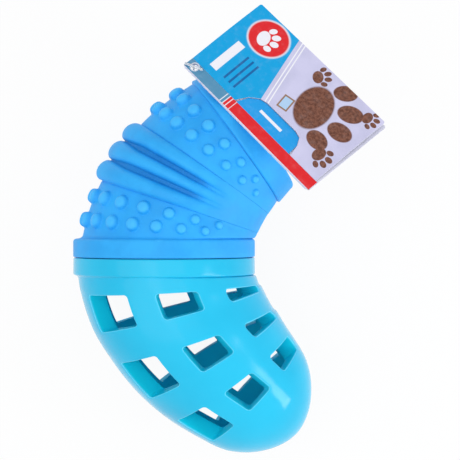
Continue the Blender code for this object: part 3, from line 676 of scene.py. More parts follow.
class Print:
    """A print on coated card, built up in layers over millimetres along and across the tag."""

    def __init__(self, name, ground):
        self.material, self.tree, self.shader = surface_material(name, 0.36, 0.22)
        uv = add(self.tree, "ShaderNodeUVMap", uv_map="tag_place").outputs[0]
        self.place = vector_maths(self.tree, "MULTIPLY", uv, (UV_SPAN, UV_SPAN, 0.0))
        split = add(self.tree, "ShaderNodeSeparateXYZ", {0: self.place})
        self.along, self.across = split.outputs[0], split.outputs[1]
        self.colour = mixed(self.tree, 0.0, ground, ground)

    def seen_from(self, along, across, turn, width=1.0, height=1.0):
        """The place on the tag as seen from one spot, turned, and in widths and heights."""
        return add(self.tree, "ShaderNodeMapping", {
            "Vector": self.place, "Location": (along, across, 0.0),
            "Rotation": (0.0, 0.0, math.radians(turn)), "Scale": (width, height, 1.0),
        }, vector_type="TEXTURE").outputs[0]

    def blob(self, along, across, width, height, turn=0.0):
        """Share covered by an ellipse."""
        local = self.seen_from(along, across, turn, width, height)
        reach = vector_maths(self.tree, "LENGTH", local, output="Value")
        return smooth_step(self.tree, reach, 1 - BLOB_SOFTNESS, 1 + BLOB_SOFTNESS, 1.0, 0.0)

    def bar(self, along, across, width, height, turn=0.0):
        """Share covered by a bar."""
        local = self.seen_from(along, across, turn)
        split = add(self.tree, "ShaderNodeSeparateXYZ", {0: vector_maths(self.tree, "ABSOLUTE", local)})
        over = maths(self.tree, "MAXIMUM",
                     maths(self.tree, "SUBTRACT", split.outputs[0], width / 2),
                     maths(self.tree, "SUBTRACT", split.outputs[1], height / 2))
        return smooth_step(self.tree, over, -BAR_SOFTNESS, BAR_SOFTNESS, 1.0, 0.0)

    def together(self, *shares):
        joined = shares[0]
        for share in shares[1:]:
            joined = maths(self.tree, "MAXIMUM", joined, share)
        return joined

    def paw(self, along, across, size, turn):
        """Share covered by a paw print: a pad and four toes."""
        way = math.radians(turn)
        return self.together(*(
            self.blob(
                along + size * (x * math.cos(way) - y * math.sin(way)),
                across + size * (x * math.sin(way) + y * math.cos(way)),
                width * size, height * size, turn + lean,
            )
            for x, y, width, height, lean in PAW_PARTS
        ))

    def ink(self, share, colour):
        self.colour = mixed(self.tree, share, self.colour, colour)

    def finish(self):
        """Join the print to the shader, with the card's faint mottle and a few scuffs."""
        tree = self.tree
        mottle = noise(tree, self.place, 0.35, 4.0, 0.6)
        aged = mixed(tree, smooth_step(tree, mottle, 0.45, 0.8, 0.0, 0.05), self.colour, WORN_INK)
        fibres = noise(tree, self.place, 3.0, 5.0, 0.6)
        plug(tree, self.shader, {
            "Base Color": aged,
            "Roughness": smooth_step(tree, fibres, 0.3, 0.7, 0.27, 0.42),
            "Normal": bumped(tree, fibres, 0.12, 0.00006),
        })
        return self.material


LAVENDER = (0.624, 0.610, 0.831)
BRIGHT_BLUE = (0.001, 0.36, 0.74)
SIGNAL_RED = (0.73, 0.016, 0.022)
WARM_BROWN = (0.105, 0.036, 0.022)
SLATE_BLUE = (0.09, 0.28, 0.46)
PAPER = (0.86, 0.86, 0.93)
BARE_CARD = (0.70, 0.70, 0.82)
WORN_INK = (0.9, 0.9, 0.95)
GREY_LAVENDER = (0.50, 0.50, 0.70)
LIGHT_BROWN = (0.24, 0.095, 0.06)
BORDER_BROWN = (0.30, 0.17, 0.10)
PALE_BLUE = (0.42, 0.62, 0.86)
DARK_BLUE = (0.002, 0.12, 0.36)
TONGUE_BLUE = (0.012, 0.34, 0.80)
EYELET_GREY = (0.66, 0.70, 0.78)


def card_material():
    return Print("white_card_finish", BARE_CARD).finish()


def spine_material():
    """Slate and red bands with four thin white rules, and the light blue tongue."""
    made = Print("spine_print_finish", SIGNAL_RED)
    made.ink(maths(made.tree, "LESS_THAN", made.along, SLATE_END), SLATE_BLUE)
    for along in SPINE_RULES_ALONG:
        made.ink(made.bar(along, *SPINE_RULE), PAPER)
    made.ink(made.bar(*LAST_SPINE_RULE), PAPER)
    made.ink(smooth_step(made.tree, made.across, *TONGUE_START), TONGUE_BLUE)
    made.ink(made.bar(*TONGUE_BAR), PAPER)
    made.ink(made.blob(0.0, HOLE_CENTRE, EYELET_RADIUS, EYELET_RADIUS), EYELET_GREY)
    made.ink(smooth_step(made.tree, made.across, *SPINE_EDGE, 1.0, 0.0), PAPER)
    return made.finish()


def leaf_material():
    """Front of the tag: a slanted blue panel, paw prints and plain bars on a lavender ground."""
    made = Print("leaf_print_finish", LAVENDER)
    tree = made.tree
    haze = noise(tree, made.place, 0.09, 2.0)
    made.ink(smooth_step(tree, haze, 0.35, 0.65, 0.0, 0.55), GREY_LAVENDER)
    slant = maths(tree, "MULTIPLY_ADD", made.across, PANEL_SLANT, made.along)
    for start in PANEL_RULES:
        end = start + PANEL_RULE_WIDTH
        made.ink(maths(tree, "MULTIPLY", smooth_step(tree, slant, start, start + 0.1),
                       smooth_step(tree, slant, end, end + 0.1, 1.0, 0.0)), PAPER)
    made.ink(smooth_step(tree, slant, PANEL_END, PANEL_END + 0.15, 1.0, 0.0), BRIGHT_BLUE)
    made.ink(made.bar(*WIDE_BAR), PAPER)
    for along in THIN_BARS_ALONG:
        made.ink(made.bar(along, *THIN_BAR), DARK_BLUE)
    made.ink(made.blob(*DISC_RIM), PAPER)
    made.ink(made.blob(*DISC), SIGNAL_RED)
    made.ink(made.paw(*DISC_PAW), PAPER)
    mottling = noise(tree, made.place, 0.9, 5.0, 0.7)
    brown = mixed(tree, smooth_step(tree, mottling, 0.35, 0.65), WARM_BROWN, LIGHT_BROWN)
    paws = made.together(*(made.paw(*paw) for paw in BROWN_PAWS))
    made.colour = mixed(tree, paws, made.colour, brown)
    made.ink(made.bar(*SMALL_BOX), BORDER_BROWN)
    made.ink(made.bar(*SMALL_BOX_FILL), PALE_BLUE)
    return made.finish()


# Rubber sleeve


def section_swell(position):
    """How far a section of the sleeve stands out of the one below it, tapering towards the mouth."""
    for start in (RIB_END, RIB_START):
        if position >= start:
            return SECTION_STEP * max(0.0, 1 - (position - start) / SECTION_TAPER)
    return 0.0


def border(position):
    """Rings of the small soft step between two sections."""
    return [ring_at(SLEEVE_RINGS, position + shift) + [0, 0, 0, out] for shift, out in BORDER_PROFILE]


def skin_ring(position):
    """A ring of the sleeve's outer skin under its ribs and nubs."""
    return ring_at(SLEEVE_RINGS, position) + [0, 0, 0, section_swell(position)]


def sleeve_rows():
    """Rings round the sleeve from its socket over the outer skin, the rim and back down the bore,
    each with its share of the way over the ribs."""
    band = np.array([0.0, 0.0, 0.0, BAND_RADIUS])
    rings = profile(band, SOCKET_MOUTH)
    rings += band_rings(SLEEVE_SEAM_ROUND, SLEEVE_STRAIGHT_END, SLEEVE_SHOULDER, 7)
    rings += bezier(rings[-1], SLEEVE_WAIST, ring_at(SLEEVE_RINGS, FIRST_ROW), 6)
    rings += [skin_ring(p) for p in np.linspace(FIRST_ROW, RIB_START - BORDER_GAP, LOW_ROW_COUNT)]
    rings += border(RIB_START)
    rows = [(ring, 0.0) for ring in rings]
    row_count = RIB_COUNT * RIB_ROW_COUNT
    for share in (np.arange(row_count) + 0.5) / row_count:
        rows.append((skin_ring(RIB_START + (RIB_END - RIB_START) * share), share))
    above = np.linspace(RIB_END + BORDER_GAP, LAST_RING - LAST_ROW_GAP, HIGH_ROW_COUNT)
    rings = border(RIB_END) + [skin_ring(position) for position in above]

    top = SLEEVE_RINGS[LAST_RING]
    taper_start, taper_end = COLLAR_STEP, COLLAR_STEP - COLLAR_TAPER
    collar = COLLAR_JOIN + arc(COLLAR_FOOT, taper_start - COLLAR_FOOT_ROUND, COLLAR_FOOT_ROUND, 180, 90, 5)
    straight_end = COLLAR_HEIGHT - COLLAR_SHOULDER
    slope = (taper_end - taper_start) / (straight_end - COLLAR_FOOT)
    collar += [(distance, taper_start + slope * (distance - COLLAR_FOOT))
               for distance in np.linspace(COLLAR_TAPER_START, straight_end - COLLAR_SHOULDER / 2, 6)]
    collar += arc(straight_end, taper_end - COLLAR_SHOULDER, COLLAR_SHOULDER, 90, 0, 7)
    collar += [(COLLAR_HEIGHT, inset) for inset in RIM_INSETS]
    collar += arc(COLLAR_HEIGHT - MOUTH_ROUND, -MOUTH_INSET, MOUTH_ROUND, 0, -90, 5)
    collar += MOUTH_FLARE
    rings += profile(top, collar)
    down = np.linspace(LAST_RING, 0, BORE_ROW_COUNT)
    rings += [ring_at(SLEEVE_RINGS, position) - [0, 0, 0, SLEEVE_WALL] for position in down]
    rings += profile(np.array([0.0, 0.0, 0.0, SOCKET_RADIUS]), SOCKET_PROFILE)
    return rows + [(ring, 0.0) for ring in rings]


def write_attribute(data, name, values):
    """Keep a number or a direction for each corner of a mesh."""
    values = np.asarray(values, dtype=np.float32)
    kind, part = ("FLOAT", "value") if values.ndim == 1 else ("FLOAT_VECTOR", "vector")
    data.attributes.new(name, kind, "POINT").data.foreach_set(part, values.ravel())


def outward_way(lean, angle):
    """Direction out of the sleeve's skin at an angle on a ring."""
    lean, turn = math.radians(lean), math.radians(angle)
    return (-math.cos(lean) * math.cos(turn), math.sin(lean) * math.cos(turn), math.sin(turn))


def nub_blank():
    """One nub of radius 1 that stands on its foot, with the height of each corner kept as its rise."""
    turns = 2 * math.pi * np.arange(NUB_SIDE_COUNT) / NUB_SIDE_COUNT
    rows = [[(0.0, 0.0, NUB_PROFILE[0][1])]]
    rows += [[(r * math.cos(t), r * math.sin(t), h) for t in turns] for r, h in NUB_PROFILE]
    rows.append([(0.0, 0.0, NUB_TOP)])
    mesh = bmesh.new()
    add_rows(mesh, rows)
    data = mesh_data("nub_blank", mesh)
    write_attribute(data, "rise", [vert.co.z for vert in data.vertices])
    return new_object("nub_blank", data)


def nub_places():
    """A loose point for each nub, with its radius and the way it stands."""
    points, radii, ways = [], [], []
    for position, count, first, bare in zip(NUB_ROW_RING, NUB_ROW_COUNT, NUB_ROW_ANGLE, NUB_ROW_BARE_ANGLE):
        ring = skin_ring(position)
        for index in range(count):
            angle = (first + 360.0 * index / count) % 360.0
            if abs(angle - 180.0) < bare:
                continue
            outside = 0.5 + 0.5 * math.cos(math.radians(angle))
            radius = NUB_RADIUS_INNER + (NUB_RADIUS_OUTER - NUB_RADIUS_INNER) * outside**NUB_FADE
            points.append(on_sleeve(ring, angle) * MM)
            radii.append(radius * MM)
            ways.append(outward_way(ring[2], angle))
    data = bpy.data.meshes.new("nub_places")
    data.from_pydata(points, [], [])
    write_attribute(data, "nub_radius", radii)
    write_attribute(data, "outward", ways)
    return new_object("nub_places", data)


def sleeve_piece(rubber):
    rows = sleeve_rows()
    angles = 360.0 * np.arange(SLEEVE_COLUMN_COUNT) / SLEEVE_COLUMN_COUNT
    mesh = bmesh.new()
    add_rows(mesh, [on_sleeve(ring, angles) for ring, _ in rows], looped=True)
    made = made_piece("ribbed_sleeve", mesh, [rubber])
    write_attribute(made.data, "rib_share", np.repeat([share for _, share in rows], len(angles)))
    write_attribute(made.data, "bend_angle", np.tile(angles, len(rows)))
    ways = [outward_way(ring[2], angle) for ring, _ in rows for angle in angles]
    write_attribute(made.data, "outward", ways)
    shaped(made, raise_ribs_tree(), {
        "Rib count": float(RIB_COUNT), "Height": RIB_HEIGHT * MM,
        "Groove floor": RIB_GROOVE_FLOOR * MM, "Groove cut": RIB_GROOVE_CUT * MM,
        "Fill": RIB_FILL, "Fill outside": RIB_FILL_OUTSIDE, "Fade": RIB_FADE,
        "Tips start": RIB_TIPS[0], "Tips end": RIB_TIPS[1], "Rubber": rubber,
    })
    blank, places = nub_blank(), nub_places()
    shaped(made, plant_nubs_tree(), {
        "Nub": blank, "Places": places, "Size spread": NUB_SIZE_SPREAD, "Seed": NUB_SEED, "Rubber": rubber,
    })
    for helper in (blank, places):
        bpy.data.objects.remove(helper)
    return made


# Cage


def cage_table():
    """Fine rings of the cage's outer and inner skin by how far along the bend they lie."""
    steps_between = 20
    positions = np.linspace(0, LAST_RING, LAST_RING * steps_between + 1)
    outer = [ring_at(CAGE_RINGS, position) for position in positions]
    inner = [ring - [0, 0, 0, CAGE_WALL] for ring in outer]
    base = CAGE_RINGS[LAST_RING]
    for step in range(1, TIP_STEP_COUNT + 1):
        share = math.sin(math.pi / 2 * step / TIP_STEP_COUNT)
        width = max(0.0, 1 - share**TIP_FULLNESS) ** (1 / TIP_ROUNDNESS)
        for rings, wall in ((outer, 0.0), (inner, CAGE_WALL)):
            ring = moved_along(base, (TIP_LENGTH - wall) * share)
            ring[3] = (base[3] - wall) * width
            rings.append(ring)
    outer, inner = np.array(outer), np.array(inner)
    steps = np.linalg.norm(np.diff(outer[:, :2], axis=0), axis=1)
    station = np.concatenate([[0.0], np.cumsum(steps)])
    at_rings = station[::steps_between][:LAST_RING + 1]
    return station, eased(station, outer, at_rings[-1]), eased(station, inner, at_rings[-1]), at_rings


def eased(station, rings, middle):
    """Smooth away the slight crease where the closed end joins the last ring."""
    even = np.linspace(station[0], station[-1], EASE_SAMPLE_COUNT)
    smooth = np.empty_like(rings)
    for column in range(4):
        values = np.interp(even, station, rings[:, column])
        for row, place in enumerate(station):
            weight = np.exp(-0.5 * ((even - place) / EASE_REACH) ** 2)
            smooth[row, column] = (weight * values).sum() / weight.sum()
    share = np.exp(-((station - middle) / EASE_STRETCH) ** 4)[:, None]
    return rings * (1 - share) + smooth * share


class Cage:
    """The cage's wall by station along the bend (mm), angle (degrees) and depth in the wall (mm)."""

    def __init__(self):
        self.station, self.outer, self.inner, self.at_rings = cage_table()
        self.row_ends = [self.at_ring(start - 0.5) for start, _ in WINDOW_ROWS]
        self.row_ends.append(self.station[TIP_FIRST_STEP - TIP_STEP_COUNT - 1])
        self.angles = np.concatenate([
            np.linspace(low, high, CELL_STEPS_ACROSS + 1)[:-1]
            for low, high in zip(WINDOW_CELL_ANGLES, WINDOW_CELL_ANGLES[1:])
        ])

    def at_ring(self, position):
        low = int(position)
        if low >= LAST_RING:
            return self.at_rings[LAST_RING]
        return self.at_rings[low] + (position - low) * (self.at_rings[low + 1] - self.at_rings[low])

    def point(self, station, angle, depth):
        station, angle, depth = np.broadcast_arrays(station, angle, depth)
        skins = [
            ring_points([np.interp(station, self.station, part) for part in rings.T], angle, -1)
            for rings in (self.outer, self.inner)
        ]
        share = (depth / CAGE_WALL)[..., None]
        return turned_with_cage(skins[0] * (1 - share) + skins[1] * share)

    def window(self, column, low, high, grow):
        """Rounded outline of a window, made larger by grow: pairs of station and angle."""
        middle, angle = (low + high) / 2, WINDOW_COLUMNS[column]
        height = np.linalg.norm(self.point(high, angle, 0) - self.point(low, angle, 0))
        radius = np.interp(middle, self.station, self.outer[:, 3])
        half = np.array([radius * math.radians(WINDOW_ARCS[column]) / 2, height / 2]) - WINDOW_CORNER
        corners = [np.array(c) * half for c in ((-1, -1), (1, -1), (1, 1), (-1, 1))]
        half_corner = CORNER_STEPS // 2
        places = []
        for side, steps in enumerate((CELL_STEPS_ACROSS, CELL_STEPS_ALONG) * 2):
            turns = np.radians(225 + 90 * side + 90 / CORNER_STEPS * np.arange(CORNER_STEPS))
            rounding = (WINDOW_CORNER + grow) * np.stack([np.cos(turns), np.sin(turns)], -1)
            first = list(corners[side] + rounding[:half_corner + 1])
            last = list(corners[(side + 1) % 4] + rounding[half_corner:])
            straight = steps - CORNER_STEPS
            between = [first[-1] + (last[0] - first[-1]) * step / straight for step in range(1, straight)]
            places += first + between + last
        places = np.array(places)
        return np.stack([
            middle + places[:, 1] * (high - low) / height,
            angle + np.degrees(places[:, 0] / radius),
        ], -1)

    def cell_edge(self, low, high, left, right):
        """Outline of the four-sided cell round a window, with as many points as the window."""
        corners = [(low, left), (low, right), (high, right), (high, left)]
        places = []
        for side, count in enumerate((CELL_STEPS_ACROSS, CELL_STEPS_ALONG) * 2):
            start, end = np.array(corners[side]), np.array(corners[(side + 1) % 4])
            places += [start + (end - start) * step / count for step in range(count)]
        return np.array(places)

    def window_cell(self, mesh, row, column):
        low, high = (self.at_ring(position) for position in WINDOW_ROWS[row])
        edge = self.cell_edge(self.row_ends[row], self.row_ends[row + 1],
                              WINDOW_CELL_ANGLES[column], WINDOW_CELL_ANGLES[column + 1])
        grown = partial(self.window, column, low, high)
        rim = grown(WINDOW_EDGE)
        turns = np.radians(EDGE_TURNS)
        starting, ending = WINDOW_EDGE * (1 - np.sin(turns)), WINDOW_EDGE * (1 - np.cos(turns))
        loops = [(edge * (1 - share) + rim * share, 0.0) for share in OUTER_SKIN_SHARES]
        loops += [(grown(grow), depth) for grow, depth in zip(starting, ending)]
        sides = grown(0.0)
        loops += [(sides, depth) for depth in np.linspace(WINDOW_EDGE, CAGE_WALL - WINDOW_EDGE, 5)[1:]]
        loops += [(grown(grow), CAGE_WALL - depth) for grow, depth in zip(ending, starting)]
        loops += [(edge * (1 - share) + rim * share, CAGE_WALL) for share in INNER_SKIN_SHARES]
        rows = add_rows(mesh, [self.point(places[:, 0], places[:, 1], depth) for places, depth in loops])
        mark_depth(mesh, rows, [depth for _, depth in loops])

    def round_rows(self, stations, depth):
        return [self.point(station, self.angles, depth) for station in stations]

    def ring_row(self, ring):
        """A row on a plain ring near the seam, where the distance from the seam may be negative."""
        return turned_with_cage(ring_points(ring, self.angles, -1))


def mark_depth(mesh, rows, depths):
    """Keep how deep in the wall each row of corners lies, as a share of the wall, for the material."""
    layer = mesh.verts.layers.float["wall_depth"]
    for row, depth in zip(rows, depths):
        for vert in row:
            vert[layer] = depth / CAGE_WALL


def cage_piece(plastic):
    cage = Cage()
    mesh = bmesh.new()
    mesh.verts.layers.float.new("wall_depth")
    for row in range(len(WINDOW_ROWS)):
        for column in range(len(WINDOW_COLUMNS)):
            cage.window_cell(mesh, row, column)

    neck = np.array([0.0, 0.0, 0.0, NECK_RADIUS])
    bore = BAND_RADIUS - CAGE_WALL - NECK_RADIUS
    rings = profile(neck, [(NECK_FOOT, bore), (NECK_END + NECK_BEVEL, bore), (NECK_END, bore + NECK_BEVEL),
                           *NECK_PROFILE])
    rings += band_rings(CAGE_SEAM_ROUND, CAGE_STRAIGHT_END, CAGE_SHOULDER, 6)
    rings += bezier(rings[-1], CAGE_WAIST, moved_along(cage.outer[0], CAGE_FIRST_ROW), 6)
    rows = [cage.ring_row(ring) for ring in rings]
    rows += cage.round_rows(np.linspace(CAGE_ROWS_START, cage.row_ends[0], 4), 0.0)
    inside = cage.round_rows(np.linspace(cage.row_ends[0], 0.0, 4), CAGE_WALL)
    mark_depth(mesh, add_rows(mesh, inside + rows), [CAGE_WALL] * len(inside) + [0.0] * len(rows))

    tip = cage.station[-TIP_STEP_COUNT - 1:]
    stations = [tip[step] for step in TIP_STEPS]
    for depth, skin in ((0.0, cage.outer), (CAGE_WALL, cage.inner)):
        x, y, _, _ = skin[-1]
        pole = turned_with_cage(np.array([x, -y, 0.0]))
        skin_rows = add_rows(mesh, cage.round_rows(stations, depth) + [pole])
        mark_depth(mesh, skin_rows, [depth] * len(skin_rows))
    bmesh.ops.remove_doubles(mesh, verts=mesh.verts, dist=0.0005)
    return made_piece("window_cage", mesh, [plastic])


# Card tag and its pin


def tag_point(along, across, out):
    return TAG_ORIGIN + along * TAG_ALONG + across * TAG_ACROSS + out * TAG_OUT


def sampled(outline, spacing):
    """A closed outline with points added so that none are further apart than spacing."""
    points = []
    for start, end in zip(outline, outline[1:] + outline[:1]):
        start, end = Vector(start), Vector(end)
        count = max(1, math.ceil((end - start).length / spacing))
        points += [start.lerp(end, step / count) for step in range(count)]
    return points


def card_faces(outline, hole, rows):
    """Corners and triangles of a flat card with an outline, an optional hole and lines to bend at."""
    edge = sampled(outline, CARD_GRID)
    points = list(edge)
    edges = [(i, (i + 1) % len(edge)) for i in range(len(edge))]
    if hole:
        start = len(points)
        points += [Vector((hole[0] + hole[2] * math.cos(t), hole[1] + hole[2] * math.sin(t)))
                   for t in (2 * math.pi * step / HOLE_SIDE_COUNT for step in range(HOLE_SIDE_COUNT))]
        edges += [(start + i, start + (i + 1) % HOLE_SIDE_COUNT) for i in range(HOLE_SIDE_COUNT)]
    low = [min(point[axis] for point in edge) for axis in (0, 1)]
    high = [max(point[axis] for point in edge) for axis in (0, 1)]
    lines = rows or list(np.arange(low[1] + CARD_GRID / 2, high[1], CARD_GRID))
    for x in np.arange(low[0] + CARD_GRID / 2, high[0], CARD_GRID):
        points += [Vector((float(x), float(y))) for y in lines]
    found = delaunay_2d_cdt(points, edges, [list(range(len(edge)))], 1, 1e-5)
    corners, triangles = found[0], found[2]

    def kept(triangle):
        middle = sum((corners[i] for i in triangle), Vector((0, 0))) / 3
        return not hole or (middle - Vector(hole[:2])).length > hole[2] * 0.99

    triangles = [triangle for triangle in triangles if kept(triangle)]
    return corners, triangles


def card_piece(name, outline, place, surfaces, hole=None, rows=None):
    """A card of even thickness, printed on its upper face. place(x, y, height) puts it on the tag."""
    corners, triangles = card_faces(outline, hole, rows)
    used = sorted({index for triangle in triangles for index in triangle})
    mesh = bmesh.new()
    layers = [
        {i: mesh.verts.new(place(*corners[i], height)) for i in used} for height in (-CARD / 2, CARD / 2)
    ]
    low, high = layers
    flat = {vert: corners[i] for layer in layers for i, vert in layer.items()}
    for a, b, c in triangles:
        mesh.faces.new((high[a], high[b], high[c])).material_index = 0
        mesh.faces.new((low[c], low[b], low[a])).material_index = 1
    sides = [side for a, b, c in triangles for side in ((a, b), (b, c), (c, a))]
    shared = {(end, start) for start, end in sides}
    for start, end in sides:
        if (start, end) not in shared:
            mesh.faces.new((low[start], low[end], high[end], high[start])).material_index = 1
    layer = mesh.loops.layers.uv.new("tag_place")
    for face in mesh.faces:
        for loop in face.loops:
            loop[layer].uv = flat[loop.vert] / UV_SPAN
    return made_piece(name, mesh, surfaces, sharp_angle=50.0)


def back_leaf_piece(surfaces):
    """Back leaf and the rounded fold, as one bent card. Its flat width runs on round the fold."""
    half_fold = math.pi * FOLD_RADIUS / 2
    centre = TAG_FOLD + FOLD_RADIUS + CARD / 2
    level = SPINE_LEVEL - FOLD_RADIUS

    def place(along, flat, height):
        if flat > -half_fold:
            turn = flat / FOLD_RADIUS
            reach = FOLD_RADIUS + height
            return tag_point(along, centre - reach * math.cos(turn), level + reach * math.sin(turn))
        return tag_point(along, centre - flat - half_fold, level - FOLD_RADIUS - height)

    far = -(TAG_EDGE - centre) - half_fold
    outline = [(TAG_START, far + CARD_CORNER), (TAG_START + CARD_CORNER, far), (TAG_END - CARD_CORNER, far),
               (TAG_END, far + CARD_CORNER), (TAG_END, half_fold), (TAG_START, half_fold)]
    folds = [half_fold * (2 * step / FOLD_STEP_COUNT - 1) for step in range(FOLD_STEP_COUNT)]
    rows = [float(flat) for flat in np.arange(far + CARD_GRID / 2, -half_fold - 0.3, CARD_GRID)] + folds
    hole = (0.0, -half_fold - (HOLE_CENTRE - centre), HOLE_RADIUS)
    return card_piece("tag_back_card", outline, place, surfaces, hole, rows)


def spine_piece(surfaces):
    """Narrow strip beside the fold with its rounded tongue."""
    start = TAG_FOLD + FOLD_RADIUS + CARD / 2
    tongue = [(x, TAG_CREASE + y) for x, y in TONGUE]
    tongue[0] = (tongue[0][0], SPINE_SIDE)
    tongue[-1] = (tongue[-1][0], SPINE_SIDE)
    outline = [(TAG_START, start), (TAG_END, start), (TAG_END, SPINE_SIDE), *reversed(tongue),
               (TAG_START, SPINE_SIDE)]

    def place(along, across, height):
        return tag_point(along, across, SPINE_LEVEL + height)

    return card_piece("tag_spine_card", outline, place, surfaces, (0.0, HOLE_CENTRE, HOLE_RADIUS))


def front_leaf_piece(surfaces):
    """Front leaf, sprung open a little and bowed, with a slit round the tongue."""
    opening = math.radians(LEAF_SPRING)
    crease_level = SPINE_LEVEL + CARD / 2

    def place(along, across, height):
        bow = LEAF_BOW * math.sin(math.pi * max(0.0, across) / LEAF_WIDTH)
        lift = height - CARD / 2 + bow
        return tag_point(
            along,
            TAG_CREASE + across * math.cos(opening) - lift * math.sin(opening),
            crease_level + across * math.sin(opening) + lift * math.cos(opening),
        )

    middle = sum(x for x, _ in TONGUE) / len(TONGUE)
    slit = []
    for x, y in TONGUE:
        away = math.copysign(TONGUE_CLEARANCE if y > 0 else TONGUE_END_GAP, x - middle)
        slit.append((x + away, y + (TONGUE_CLEARANCE if y > 0 else 0.0)))
    outline = [(TAG_START, 0.0), *slit, (LEAF_END, 0.0), (LEAF_END, LEAF_WIDTH - CARD_CORNER),
               (LEAF_END - CARD_CORNER, LEAF_WIDTH), (TAG_START + CARD_CORNER, LEAF_WIDTH),
               (TAG_START, LEAF_WIDTH - CARD_CORNER)]
    return card_piece("tag_front_card", outline, place, surfaces)


def round_end(tip, following, radius):
    """Places and radii from the tip of a bar to the end of its rounding."""
    way = (tip - following) / np.linalg.norm(tip - following)
    turns = [math.radians(turn) for turn in (90, 60, 30, 0)]
    return [(tip - way * radius * (1 - math.sin(turn)), radius * math.cos(turn)) for turn in turns]


def add_bar(mesh, route, radius):
    """A round bar with rounded ends along a route of points."""
    route = [np.asarray(point, float) for point in route]
    places = round_end(route[0], route[1], radius)
    places += [(point, radius) for point in route[1:-1]]
    places += reversed(round_end(route[-1], route[-2], radius))
    rows = []
    side = np.cross(route[0] - route[1], SLANTED_WAY)
    for index, (middle, reach) in enumerate(places):
        ahead = places[min(index + 1, len(places) - 1)][0] - places[max(index - 1, 0)][0]
        ahead /= np.linalg.norm(ahead)
        side = side - ahead * side.dot(ahead)
        side /= np.linalg.norm(side)
        third = np.cross(ahead, side)
        if reach < 1e-6:
            rows.append([middle])
            continue
        turns = 2 * math.pi * np.arange(BAR_SIDE_COUNT) / BAR_SIDE_COUNT
        rows.append([middle + reach * (side * math.cos(t) + third * math.sin(t)) for t in turns])
    add_rows(mesh, rows)


def pin_head_piece(nylon):
    way = math.radians(BAR_ANGLE)
    middle = tag_point(0.0, 0.0, BAR_LEVEL)
    across = (TAG_ALONG * math.cos(way) + TAG_ACROSS * math.sin(way)) * BAR_LENGTH / 2
    mesh = bmesh.new()
    add_bar(mesh, [middle - across, middle + across], BAR_RADIUS)
    add_bar(mesh, [tag_point(0, 0, BAR_LEVEL), tag_point(0, 0, HEAD_STEM_END)], STEM_RADIUS)
    return made_piece("tag_pin_bar", mesh, [nylon])


def pin_anchor_piece(nylon):
    mesh = bmesh.new()
    route = np.array(STEM_ROUTE) + SEAM_CENTRE
    add_bar(mesh, route, STEM_RADIUS)
    end = route[-1]
    add_bar(mesh, [end - COLLAR_AXIS * BAR_LENGTH / 2, end + COLLAR_AXIS * BAR_LENGTH / 2], BAR_RADIUS)
    return made_piece("tag_pin_anchor_bar", mesh, [nylon])


# Floor, light and camera


def seen_directly(tree):
    """1 for what the camera sees directly, in a gloss or through clear plastic."""
    path = add(tree, "ShaderNodeLightPath").outputs
    seen = maths(tree, "MAXIMUM", path["Is Camera Ray"], path["Is Glossy Ray"])
    return maths(tree, "MAXIMUM", seen, path["Is Transmission Ray"])


def studio_floor():
    mesh = bmesh.new()
    bmesh.ops.create_grid(mesh, x_segments=4, y_segments=4, size=FLOOR_HALF_SIZE)
    bmesh.ops.translate(mesh, verts=mesh.verts, vec=(0.0, 0.0, -FLOOR_DROP))
    made = bpy.data.materials.new("pale_floor")
    made.use_nodes = True
    tree = made.node_tree
    tree.nodes.remove(tree.nodes["Principled BSDF"])
    matt = add(tree, "ShaderNodeBsdfDiffuse", {"Color": FLOOR_GREY})
    glow = add(tree, "ShaderNodeEmission", {"Color": WHITE, "Strength": 1.0})
    share = maths(tree, "MULTIPLY", seen_directly(tree), FLOOR_SEEN_SHARE)
    both = add(tree, "ShaderNodeMixShader", {0: share, 1: matt.outputs[0], 2: glow.outputs[0]})
    plug(tree, tree.nodes["Material Output"], {"Surface": both.outputs[0]})
    floor = made_piece("studio_floor", mesh, [made])


def studio_world():
    world = bpy.data.worlds.new("pale_studio")
    bpy.context.scene.world = world
    world.use_nodes = True
    tree = world.node_tree
    tree.nodes.clear()
    soft = add(tree, "ShaderNodeBackground", {"Color": SKY_TINT, "Strength": SKY_STRENGTH})
    white = add(tree, "ShaderNodeBackground", {"Color": WHITE, "Strength": 1.0})
    both = add(tree, "ShaderNodeMixShader", {0: seen_directly(tree), 1: soft.outputs[0], 2: white.outputs[0]})
    add(tree, "ShaderNodeOutputWorld", {"Surface": both.outputs[0]})


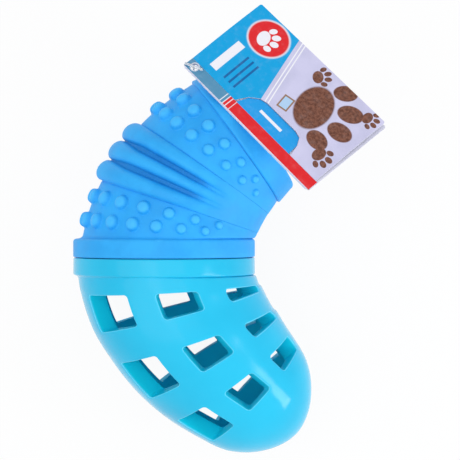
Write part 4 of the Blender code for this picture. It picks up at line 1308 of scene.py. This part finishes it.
def lamp(name, place, target, size, power, along=(0.0, 0.0, 1.0)):
    """A softbox that faces its target, with its length turned along a direction."""
    data = bpy.data.lights.new(name, "AREA")
    data.shape = "RECTANGLE"
    data.size, data.size_y = size
    data.energy = power
    made = new_object(name, data)
    made.location = place
    out = (Vector(place) - Vector(target)).normalized()
    side = Vector(along).cross(out).normalized()
    made.rotation_euler = Matrix((side, out.cross(side), out)).transposed().to_euler()


def studio_lights():
    lamp("overhead_softbox", OVERHEAD_PLACE, LAMP_TARGET, SOFTBOX_SIZE, OVERHEAD_POWER)
    lamp("side_softbox", SIDE_PLACE, LAMP_TARGET, SOFTBOX_SIZE, SIDE_POWER)
    streak = Vector((SEAM_CENTRE + STREAK_FROM_SEAM) * MM)
    lamp("streak_softbox", streak + Vector(STREAK_WAY), streak, STREAK_SIZE, STREAK_POWER, STREAK_ALONG)


def photo_camera():
    data = bpy.data.cameras.new("photo_camera")
    data.sensor_fit = "HORIZONTAL"
    data.angle = math.radians(CAMERA_ANGLE)
    data.clip_start = 0.02
    data.clip_end = 10.0
    made = new_object("photo_camera", data)
    made.location = (SEAM_CENTRE + CAMERA_FROM_SEAM) * MM
    bpy.context.scene.camera = made


# The whole toy


def build():
    rubber, plastic, nylon = rubber_material(), plastic_material(), nylon_material()
    card = card_material()
    pieces = [
        (sleeve_piece(rubber), "sleeve", ["rubber_sleeve"], "blue_rubber"),
        (cage_piece(plastic), "cage", ["cage_shell"], "cyan_plastic"),
        (back_leaf_piece([card, card]), "hang_tag", ["tag_back_leaf"], "white_card"),
        (spine_piece([spine_material(), card]), "hang_tag", ["tag_spine"], "red_print"),
        (front_leaf_piece([leaf_material(), card]), "tag_leaf", ["tag_front_leaf"], "blue_print"),
        (pin_head_piece(nylon), "hang_tag", ["tag_pin_head"], "clear_nylon"),
        (pin_anchor_piece(nylon), "sleeve", ["tag_pin_anchor"], "clear_nylon"),
    ]
    for piece, body, nodes, slot in pieces:
        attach(piece, body)
        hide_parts(*nodes)
    studio_floor()
    studio_world()
    studio_lights()
    photo_camera()
    bpy.context.scene.view_settings.view_transform = "Standard"


build()
